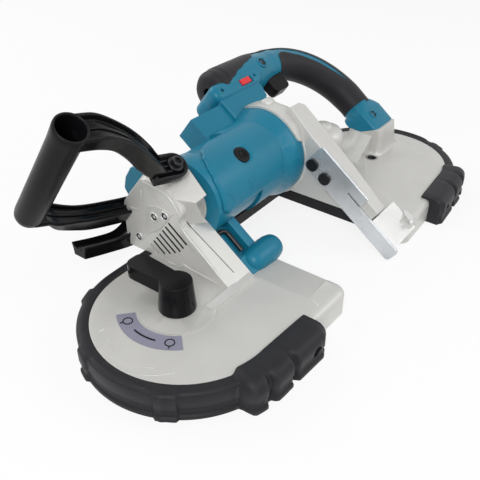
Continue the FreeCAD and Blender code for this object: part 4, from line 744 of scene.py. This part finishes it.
def label_marks():
    """Plain marks on the lever's label: two rings with stems, and a bar between them."""
    for i, angle in enumerate(LABEL_RINGS):
        x, y = label_place(angle)
        ring = []
        for turn in full_turn(24):
            right, up = LABEL_RING_RADIUS * cos(turn), LABEL_RING_RADIUS * sin(turn)
            ring.append(on_plate(x + right, y + up, LABEL_RISE))
        wire(f"label_ring_{i}", ring, 0.45, "black_plastic", cyclic=True)
        stem = [on_plate(x * share, y * share, LABEL_RISE) for share in LABEL_STEM]
        wire(f"label_stem_{i}", stem, 0.5, "black_plastic")
    bar = [on_plate(*label_place(angle), LABEL_RISE) for angle in spread_out(*LABEL_BAR, 14)]
    wire("label_bar", bar, 0.7, "black_plastic")


plate_lines()
label_marks()


# Front motor housing

SHROUD_X = -127.0
SHROUD_PANEL = ((82.6, 45.3), (82.6, 72.1), (77.5, 79.3), (68.3, 82.2), (47.9, 80.8), (64.4, 58.6))
FACE_DEPTH, FACE_INSET = 0.9, 0.6
SHROUD_SCREWS = ((70.9, 69.7, 0.9), (58.2, 75.2, 0.9), (93.1, 39.6, 0.0))
SCREW_RIM_PROFILE = ((4.8, -0.6), (4.8, 0.5), (4.2, 1.0), (3.4, 0.8), (3.1, -0.6))
SCREW_SOCKET_PROFILE = ((3.3, -0.5), (3.3, 0.35), (1.9, 0.35), (1.5, -0.3))
SHROUD_EDGE = ((-126.6, 82.7, 101.0), (-126.6, 63.9, 97.9), (-126.6, 51.9, 94.1), (-126.4, 43.4, 81.4),
               (-125.4, 41.8, 68.4), (-125.6, 20.9, 51.1), (-126.6, 0.5, 36.0))
SHROUD_BUMP = ((-127.0, 85.3, 91.7), (-127.0, 87.3, 76.7), (-127.0, 91.7, 69.8), (-127.0, 103.0, 68.2))
# Fold along the foot, drawn in bright_casting as painted highlight.
SHROUD_FOLD_HIGHLIGHT = ((-127.6, 57.1, 26.6), (-127.6, 43.3, 27.0), (-127.0, 40.1, 31.1), (-127.0, 30.5, 29.4),
               (-127.0, 3.4, 27.7))
SHROUD_PARTING = ((-118.0, 42.0, 70.8), (-116.5, 37.7, 65.2), (-114.4, 14.4, 48.3), (-112.9, -5.2, 34.1))
# Black sheet inside the wall behind the vent slots: painted shade seen through them.
VENT_SHADE_SHEET = ((-34.0, -41.0), (-7.0, -41.0), (-7.0, -1.0), (-34.0, -1.0))
VENT_SHADE_SHEET_DEPTHS = (0.3, 1.1)
SIDE_CAP = ((110.0, 68.0), (117.0, 79.0), (114.0, 91.0), (107.0, 102.0), (97.0, 107.5), (86.0, 107.0),
            (97.0, 86.0))
SIDE_CAP_ENDS = (-118.0, -98.0)
SHOULDER_LINES = (
    ((-117.6, 58.3, 107.5), (-103.0, 50.0, 113.7)), ((-120.9, 55.8, 104.3), (-104.3, 44.4, 110.4)),
    ((-126.9, 47.6, 96.4), (-108.6, 26.0, 99.1)), ((-126.7, 47.0, 95.4), (-118.3, 29.9, 94.2)),
    ((-120.4, 43.9, 76.5), (-114.5, 27.3, 81.0)), ((-116.9, 40.1, 68.3), (-111.0, 23.4, 73.0)))
SHOULDER_DEPTH = 7.0


def shroud_panel():
    """Raised flat panel on the front, its outer edge drawn in a little."""
    outline = [spot(SHROUD_X, y, z) for y, z in SHROUD_PANEL]
    middle = sum(outline, Vector()) / len(outline)
    depth = across * FACE_DEPTH * MM
    lower = [point + depth for point in outline]
    upper = [drawn_in(point, middle, FACE_INSET * MM) - depth for point in outline]
    panel = lofted("shroud_panel", [lower, upper], smooth=False)
    finished(rounded(panel, 0.4), "frame_casting")


def shroud_screws():
    """Collars of the screws in the front, made paler as painted highlight, and their sockets."""
    rims, sockets = bmesh.new(), bmesh.new()
    for y, z, lift in SHROUD_SCREWS:
        start = spot(SHROUD_X - lift, y, z)
        lathe(rims, SCREW_RIM_PROFILE, start, -across, along_s, 32)
        lathe(sockets, SCREW_SOCKET_PROFILE, start, -across, along_s, 24)
    finished(object_from("shroud_screw_highlight_rims", rims), "bright_casting", stands_for=("shroud_screws",))
    finished(object_from("shroud_screw_sockets", sockets), "dark_steel")


def shroud_lines():
    """Raised edges of the front, a fold along its foot made paler as painted highlight, and the parting line
    behind it.
    """
    wire("shroud_edge", smooth_line([spot(*place) for place in SHROUD_EDGE]), 1.3, "frame_casting")
    wire("shroud_bump_line", smooth_line([spot(*place) for place in SHROUD_BUMP]), 0.6, "frame_casting")
    wire("shroud_foot_fold_highlight", [spot(*place) for place in SHROUD_FOLD_HIGHLIGHT], 0.9, "bright_casting")
    wire("shroud_parting", [spot(*place) for place in SHROUD_PARTING], 0.35, "dark_steel")


def shroud_fillings():
    """Black sheet behind the vents as painted shade, and the cap on the far side of the motor."""
    rows = [[tilted(SHROUD_X + depth, s, e) for s, e in VENT_SHADE_SHEET] for depth in VENT_SHADE_SHEET_DEPTHS]
    finished(lofted("vent_painted_shade", rows, smooth=False), "black_plastic")
    rows = [[spot(x, y, z) for y, z in SIDE_CAP] for x in SIDE_CAP_ENDS]
    finished(rounded(lofted("motor_side_cap", rows, smooth=False), 2.0, segments=3), "teal_plastic")


def shroud_shoulder():
    """Faceted shoulder between the front housing and the motor."""
    rows = []
    for line in SHOULDER_LINES:
        edge = [spot(*place) for place in line]
        inner = []
        for point in reversed(edge):
            inner.append(drawn_in(point, (point.x, motor_axis.y, motor_axis.z), SHOULDER_DEPTH * MM))
        rows.append(edge + inner)
    shoulder = lofted("shroud_shoulder", rows, smooth=False)
    finished(rounded(shoulder, 0.9, segments=3, angle=20.0), "frame_casting")


shroud_panel()
shroud_screws()
shroud_lines()
shroud_fillings()
shroud_shoulder()


# Motor housing

# Ends of the raised panel along the motor, by the angle round it.
PANEL_LEFT = ((76.0, -62.0), (92.0, -76.0), (105.0, -84.0), (124.0, -90.0), (140.0, -92.5), (210.0, -93.0))
PANEL_RIGHT = ((76.0, -6.0), (90.0, 0.0), (105.0, 5.0), (128.0, 6.5), (153.0, 4.5), (170.0, 0.0),
               (210.0, -4.0))
PANEL_FROM, PANEL_TO, PANEL_RADIUS, PANEL_CORNER = 79.0, 187.0, 41.0, 9.0
PANEL_DROP, PANEL_EASE, PANEL_DEPTH = 1.6, 2.4, 3.0
BRUSH_X, BRUSH_ANGLE, BRUSH_HOLE, BRUSH_REACH = -45.0, 126.5, 8.6, 37.4
BRUSH_PROFILE = ((8.3, -6.0), (8.3, 1.0), (7.6, 2.2), (5.0, 2.6), (4.6, 1.6), (0.0, 1.4))
MOTOR_LINES = (((-56.0, 158.0), (-53.0, 167.0), (-57.0, 176.0), (-68.0, 180.0)),
               ((-85.0, 160.0), (-80.0, 167.0), (-80.0, 176.0), (-86.0, 182.0)))


def motor_point(x, angle, radius):
    """Point round the motor axis; the angle is from the far side, over the top."""
    turn = radians(angle)
    return spot(x, MOTOR_Y + radius * cos(turn), MOTOR_Z + radius * sin(turn))


def motor_panel_mask(x, angle):
    """Above nought on the raised panel of the motor housing: the distance from its edge."""
    arc = radians(1.0) * PANEL_RADIUS
    sides = (x - on_table(PANEL_LEFT, angle), on_table(PANEL_RIGHT, angle) - x)
    ends = ((angle - PANEL_FROM) * arc, (PANEL_TO - angle) * arc)
    inside = min(sides + ends)
    for side in sides:
        for end in ends:
            inside = corner_cut(inside, side, end, PANEL_CORNER)
    hole = hypot(x - BRUSH_X, (angle - BRUSH_ANGLE) * arc) - BRUSH_HOLE
    return min(inside, hole)


def motor_panel_point(x, angle):
    """Point on the raised panel, which drops towards its edge."""
    drop = PANEL_DROP * (1.0 - blend(0.0, PANEL_EASE, motor_panel_mask(x, angle)))
    return motor_point(x, angle, PANEL_RADIUS - drop)


def motor_details():
    """Raised panel, cap of the near brush and embossed lines on the motor housing."""
    panel = sheet("motor_panel", motor_panel_point, motor_panel_mask, spread_out(-96.0, 10.0, 107),
                  spread_out(76.0, 210.0, 121), PANEL_DEPTH)
    finished(panel, "teal_plastic")
    cap = turned("brush_cap_near", BRUSH_PROFILE, tilted(BRUSH_X, 0, BRUSH_REACH), along_e, across, 40)
    finished(cap, "black_plastic")
    for i, line in enumerate(MOTOR_LINES):
        points = smooth_line([motor_point(x, angle, PANEL_RADIUS) for x, angle in line])
        wire(f"motor_line_{i}", points, 0.6, "teal_plastic")


motor_details()


# Gear housing

# Each row is the place along the saw and the radius on top and below.
BOWL_ROWS = ((28.6, 40.0, 40.0), (28.6, 47.4, 47.4), (29.4, 48.4, 48.6), (34.0, 48.4, 49.0),
             (41.0, 48.0, 49.0), (43.5, 46.4, 49.0), (50.0, 43.0, 48.6), (56.0, 40.0, 44.0),
             (60.5, 36.0, 38.0), (62.0, 30.0, 30.0), (62.0, 1.0, 1.0))
BOWL_LOW_FROM, BOWL_LOW_TO = (165.0, 205.0), (290.0, 330.0)
COLLAR_LEFT = ((50.0, 30.0), (60.0, 25.0), (68.0, 22.4), (80.0, 21.8), (138.0, 21.4), (148.0, 22.6),
               (156.0, 30.0))
COLLAR_RADIUS, COLLAR_END, COLLAR_DEPTH = 48.3, 29.8, 2.2
# Each row is the place in x and s, and whether it moves back with the spread of a level.
WEB_OUTLINE = ((29.2, -122.0, 0), (29.2, -26.0, 0), (34.8, 12.0, 0), (49.8, 11.6, 1), (54.8, 7.0, 1),
               (53.7, -30.0, 1), (51.2, -71.0, 1), (44.5, -122.0, 1))
# Each row is a level in e, its spread and its inset.
WEB_ROWS = ((-70.0, 30.0, 0.0), (12.0, 29.0, 0.0), (22.0, 25.0, 0.0), (28.0, 20.0, 0.0), (40.0, 9.5, 0.0),
            (51.5, 1.5, 0.0), (53.4, 0.6, 0.5), (54.2, 0.0, 1.8))
WEB_MIDDLE = (42.0, -60.0)
WEB_FRONT, WEB_LOW_EDGE, WEB_BACK, THROAT_WALL = 29.2, 38.5, 80.0, 71.0
OUTPUT_X, OUTPUT_Y, COUNTER_X, COUNTER_Z = 112.0, 41.3, 50.0, 56.0
TOWER_PROFILE = ((26.0, 0.0), (24.6, 2.0), (24.0, 6.0), (23.4, 38.0), (22.2, 44.0), (18.6, 48.4),
                 (13.0, 50.4), (10.0, 50.8), (9.2, 53.0), (8.0, 53.8), (0.0, 53.8))
TUNNEL_PROFILE = ((18.6, 0.0), (18.6, 62.0))
EAR_PROFILE = ((4.0, 0.0), (5.4, 0.8), (6.2, 2.4), (6.2, 11.0), (5.2, 13.0), (3.0, 14.0))
EAR_X, EAR_ANGLE, EAR_REACH = 29.0, 84.0, 46.0


def gear_bowl():
    """Bowl behind the motor: it narrows early on top, and later below, where the gears need room."""
    rows = []
    for x, upper, lower in BOWL_ROWS:
        row = []
        for angle in spread_out(0.0, 357.5, 144):
            share = blend(*BOWL_LOW_FROM, angle) * (1.0 - blend(*BOWL_LOW_TO, angle))
            row.append(motor_point(x, angle, upper + (lower - upper) * share))
        rows.append(row)
    bowl = rounded(lofted("gear_bowl", rows), 0.8, angle=30.0)
    finished(bowl, "frame_casting", stands_for=("gear_housing",))


def gear_collar():
    """Lip of the bowl over the motor housing's flange, on the upper near side."""
    collar = sheet("gear_collar", lambda x, angle: motor_point(x, angle, COLLAR_RADIUS),
                   lambda x, angle: min(x - on_table(COLLAR_LEFT, angle), COLLAR_END - x),
                   spread_out(21.0, 30.0, 19), spread_out(50.0, 156.0, 54), COLLAR_DEPTH)
    finished(rounded(collar, 0.5), "frame_casting")


def gear_web():
    """Slanting web towards the blade, narrower at its end, with a sloping back down to the rear plate."""
    rows = []
    for e, spread, inset in WEB_ROWS:
        rows.append([tilted(*drawn_in((x + spread * behind, s), WEB_MIDDLE, inset), e)
                     for x, s, behind in WEB_OUTLINE])
    bm = bmesh.new()
    skin(bm, rows)
    throat_slope = Vector((PLATE_TOP - WEB_LOW_EDGE, 0, WEB_FRONT - THROAT_WALL))
    cut_beyond(bm, spot(0, 0, PLATE_TOP), -upwards)
    cut_beyond(bm, spot(0, WEB_BACK, 0), -nearer)
    cut_beyond(bm, spot(WEB_FRONT, 0, WEB_LOW_EDGE), throat_slope)
    finished(rounded(object_from("gear_web", bm, False), 1.6, segments=3, angle=25.0), "frame_casting")


def gear_tower():
    """Domed tower over the output shaft, the tunnel of the counter shaft, and the ear beside the neck."""
    tower = turned("gear_tower", TOWER_PROFILE, spot(OUTPUT_X, OUTPUT_Y, PLATE_TOP), upwards, across)
    finished(tower, "frame_casting")
    tunnel = turned("gear_tunnel", TUNNEL_PROFILE, spot(COUNTER_X, OUTPUT_Y, COUNTER_Z), across, upwards)
    finished(tunnel, "frame_casting")
    out = (motor_point(0.0, EAR_ANGLE, 1.0) - motor_point(0.0, EAR_ANGLE, 0.0)).normalized()
    place = motor_point(EAR_X, EAR_ANGLE, EAR_REACH)
    finished(turned("gear_housing_ear", EAR_PROFILE, place, across, out, 36), "frame_casting")


gear_bowl()
gear_collar()
gear_web()
gear_tower()


# Neck, foot and screw recesses of the main handle, and the boss beside the guide

NECK_OUTLINE = ((6.0, 38.5), (46.0, 38.5), (62.0, 41.0), (68.0, 45.0), (71.0, 54.0), (72.0, 66.0),
                (6.0, 66.0))
NECK_MIDDLE = (40.0, 52.0)
NECK_ROWS = ((-15.0, 2.0), (-13.6, 0.4), (-12.0, 0.0), (14.0, 0.0), (15.6, 0.4), (17.0, 2.0))
# Each row is a level, its limits both ways and, for the foot, its squareness.
FOOT_ROWS = ((-10.0, 185.6, 217.6, -16.0, 16.0, 2.0), (-16.0, 184.6, 218.6, -17.0, 17.0, 2.0),
             (-19.0, 183.0, 221.0, -15.6, 16.6, 2.6), (-23.0, 181.2, 224.0, -13.4, 16.0, 3.6),
             (-29.0, 180.4, 225.6, -12.4, 15.7, 6.0), (-85.0, 179.6, 223.0, -12.4, 15.7, 7.0))
PEDESTAL_ROWS = ((60.0, 179.4, 220.4, 3.4, 44.0), (46.0, 179.2, 222.0, 1.6, 45.0),
                 (34.0, 178.8, 224.0, 1.2, 46.0), (29.4, 178.0, 226.4, 0.4, 47.0),
                 (27.2, 177.0, 228.6, -0.8, 48.0), (25.6, 175.6, 231.0, -2.4, 49.0))
PEDESTAL_POWER = 9.0
FOOT_SEAM, FOOT_SEAM_SLOPE, FOOT_BACK_SEAM = (7.1, 56.7), Vector((0.0, -6.9, -17.5)), 47.0
# The collar's rows add to the radius of a recess, and the rows of the dark disc, for the screw and the painted
# shade of its hole, are shares of it.
RECESS_COLLAR = ((1.8, -1.5), (1.6, 0.5), (0.8, 0.9), (0.0, 0.5), (-0.2, -1.5))
RECESS_SCREW_AND_SHADE = ((1.0, -1.5), (1.0, -0.2), (0.5, -0.2), (0.4, -0.8), (0.0, -0.8))
BOSS_MIDDLE, BOSS_ALONG, BOSS_OUT = Vector((71.5, -82.5)), Vector((-0.707, -0.707)), Vector((0.707, -0.707))
BOSS_HALF, BOSS_REACH = 12.0, 7.5
BOSS_ROWS = ((25.4, 0.0), (27.8, 0.2), (28.8, 1.2))


def handle_neck():
    """Fairing that carries the switch side of the handle down to the motor housing."""
    rows = []
    for e, inset in NECK_ROWS:
        rows.append([tilted(*drawn_in(place, NECK_MIDDLE, inset), e) for place in NECK_OUTLINE])
    neck = lofted("handle_neck", rows, smooth=False)
    finished(rounded(neck, 1.6, segments=3, angle=30.0), "teal_plastic")


def squarish(low, high, near, far, power):
    """Loop of points between two limits each way: round at power 2, and squarer above."""
    loop = []
    for turn in full_turn(48):
        side, end = cos(turn), sin(turn)
        loop.append(((low + high) / 2 + (high - low) / 2 * copysign(abs(side) ** (2 / power), side),
                     (near + far) / 2 + (far - near) / 2 * copysign(abs(end) ** (2 / power), end)))
    return loop


def handle_foot():
    """Foot of the main handle, grown from the grip, and the cast pedestal that it stands on."""
    seam = spot(0.0, *FOOT_SEAM)
    bm = bmesh.new()
    skin(bm, [[tilted(x, s, e) for x, e in squarish(low, high, under, over, power)]
              for s, low, high, under, over, power in FOOT_ROWS])
    cut_beyond(bm, seam, FOOT_SEAM_SLOPE)
    cut_beyond(bm, spot(0.0, 0.0, FOOT_BACK_SEAM), -upwards)
    finished(rounded(object_from("handle_foot", bm), 0.8, angle=40.0), "teal_plastic")
    bm = bmesh.new()
    skin(bm, [[spot(x, y, z) for x, y in squarish(low, high, near, far, PEDESTAL_POWER)]
              for z, low, high, near, far in PEDESTAL_ROWS])
    cut_beyond(bm, seam, -FOOT_SEAM_SLOPE)
    finished(rounded(object_from("foot_pedestal", bm), 0.8, angle=40.0), "frame_casting")


def corner_boss():
    """Half-moon boss on the corner of the rear frame half, beside the guide, made paler as painted highlight."""
    rows = []
    for level, inset in BOSS_ROWS:
        row = []
        for turn in spread_out(0.0, pi, 25):
            along = BOSS_ALONG * (BOSS_HALF - inset) * cos(turn)
            out = BOSS_OUT * (BOSS_REACH - inset) * sin(turn)
            row.append(spot(*(BOSS_MIDDLE + along + out), level))
        rows.append(row)
    finished(rounded(lofted("corner_boss", rows, smooth=False), 0.5), "bright_casting")


def screw_recess(name, place, radius):
    """Raised collar round a sunk screw, and a dark disc for the screw and the painted shade of its hole."""
    collar = [(radius + extra, height) for extra, height in RECESS_COLLAR]
    finished(turned(name + "_collar", collar, place, along_e, across, 36), "teal_plastic")
    # Dark disc near the surface: the screw, and painted shade of its hole.
    screw_and_shade = [(radius * share, height) for share, height in RECESS_SCREW_AND_SHADE]
    finished(turned(name + "_screw", screw_and_shade, place, along_e, across, 36), "dark_steel")


handle_neck()
handle_foot()
corner_boss()
screw_recess("handle_screw", tilted(91.5, 78.5, 21.2), 4.6)
screw_recess("foot_screw", tilted(196.0, -36.0, 16.2), 4.2)


# Floor, light and camera

# Sizes and places of the floor and the lights are in metres, and powers in watts.
FLOOR_SIZE, FLOOR_COLOR, FLOOR_GLOW = 8.0, (0.93, 0.93, 0.93, 1.0), 0.84
WORLD_LEVEL = 0.42
LIGHT_AIM = (0.0, 0.0, 0.06)
LIGHTS = (("key_light", (-1.1, -0.6, 1.05), 0.9, 12.5), ("fill_light", (0.7, -1.1, 0.9), 1.0, 5.5),
          ("back_light", (-0.1, 1.25, 1.0), 1.0, 7.0))
AZIMUTH, ELEVATION, ROLL = radians(-53.77), radians(34.59), radians(0.40)
CAMERA_DISTANCE, CAMERA_TARGET = 584.3, (-76.6, 15.1, 40.0)
FOCAL_SHARE, SENSOR = 639.9 / 480.0, 36.0


def area_light(name, place, size, power):
    """Soft lamp pointed at the saw."""
    light = bpy.data.lights.new(name, "AREA")
    light.shape = "DISK"
    light.size = size
    light.energy = power
    holder = bpy.data.objects.new(name, light)
    holder.location = place
    holder.rotation_euler = (Vector(LIGHT_AIM) - Vector(place)).to_track_quat("-Z", "Y").to_euler()
    bpy.context.scene.collection.objects.link(holder)


def seen_rays(tree):
    """Socket that is 1 for rays that see the surroundings directly, in gloss or through glass."""
    rays = tree.nodes.new("ShaderNodeLightPath")
    seen = rays.outputs["Is Camera Ray"]
    for kind in ("Is Glossy Ray", "Is Transmission Ray"):
        either = tree.nodes.new("ShaderNodeMath")
        either.operation = "MAXIMUM"
        tree.links.new(seen, either.inputs[0])
        tree.links.new(rays.outputs[kind], either.inputs[1])
        seen = either.outputs["Value"]
    return seen


def pale_floor():
    """Floor that looks almost white and still takes shadows."""
    bpy.ops.mesh.primitive_plane_add(size=FLOOR_SIZE, location=(0, 0, -0.05 * MM))
    floor = bpy.context.object
    floor.name = "floor"
    material, link, shader, add = new_material("floor")
    shader.inputs["Base Color"].default_value = FLOOR_COLOR
    shader.inputs["Roughness"].default_value = 0.9
    shader.inputs["Specular IOR Level"].default_value = 0.0
    tree = material.node_tree
    glow = add("ShaderNodeEmission", Strength=1.0)
    share = add("ShaderNodeMath", operation="MULTIPLY")
    share.inputs[1].default_value = FLOOR_GLOW
    mix = add("ShaderNodeMixShader")
    link(seen_rays(tree), share.inputs[0])
    link(share.outputs["Value"], mix.inputs["Fac"])
    link(shader.outputs["BSDF"], mix.inputs[1])
    link(glow.outputs["Emission"], mix.inputs[2])
    link(mix.outputs["Shader"], tree.nodes["Material Output"].inputs["Surface"])
    floor.data.materials.append(material)


def surroundings():
    """White surroundings that light the saw less than they show."""
    world = bpy.data.worlds.new("studio")
    bpy.context.scene.world = world
    world.use_nodes = True
    tree = world.node_tree
    link, sky = tree.links.new, tree.nodes["Background"]
    strength = ranged(link, tree.nodes.new, seen_rays(tree), (0.0, 1.0), (WORLD_LEVEL, 1.0))
    link(strength, sky.inputs["Strength"])
    sky.inputs["Color"].default_value = (1.0, 1.0, 1.0, 1.0)


def camera():
    """Camera at the photograph's viewing angle."""
    back = Vector((sin(AZIMUTH) * cos(ELEVATION), -cos(AZIMUTH) * cos(ELEVATION), sin(ELEVATION)))
    right = (-back).cross(upwards).normalized()
    up = right.cross(-back)
    turned_right = right * cos(ROLL) + up * sin(ROLL)
    turned_up = up * cos(ROLL) - right * sin(ROLL)
    lens = bpy.data.cameras.new("camera")
    lens.sensor_width = SENSOR
    lens.lens = FOCAL_SHARE * SENSOR
    lens.clip_start = 0.01
    holder = bpy.data.objects.new("camera", lens)
    matrix = Matrix((turned_right, turned_up, back)).transposed().to_4x4()
    matrix.translation = spot(*CAMERA_TARGET) + back * CAMERA_DISTANCE * MM
    holder.matrix_world = matrix
    bpy.context.scene.collection.objects.link(holder)
    bpy.context.scene.camera = holder


pale_floor()
surroundings()
for light_values in LIGHTS:
    area_light(*light_values)
bpy.context.scene.view_settings.view_transform = "Standard"
camera()
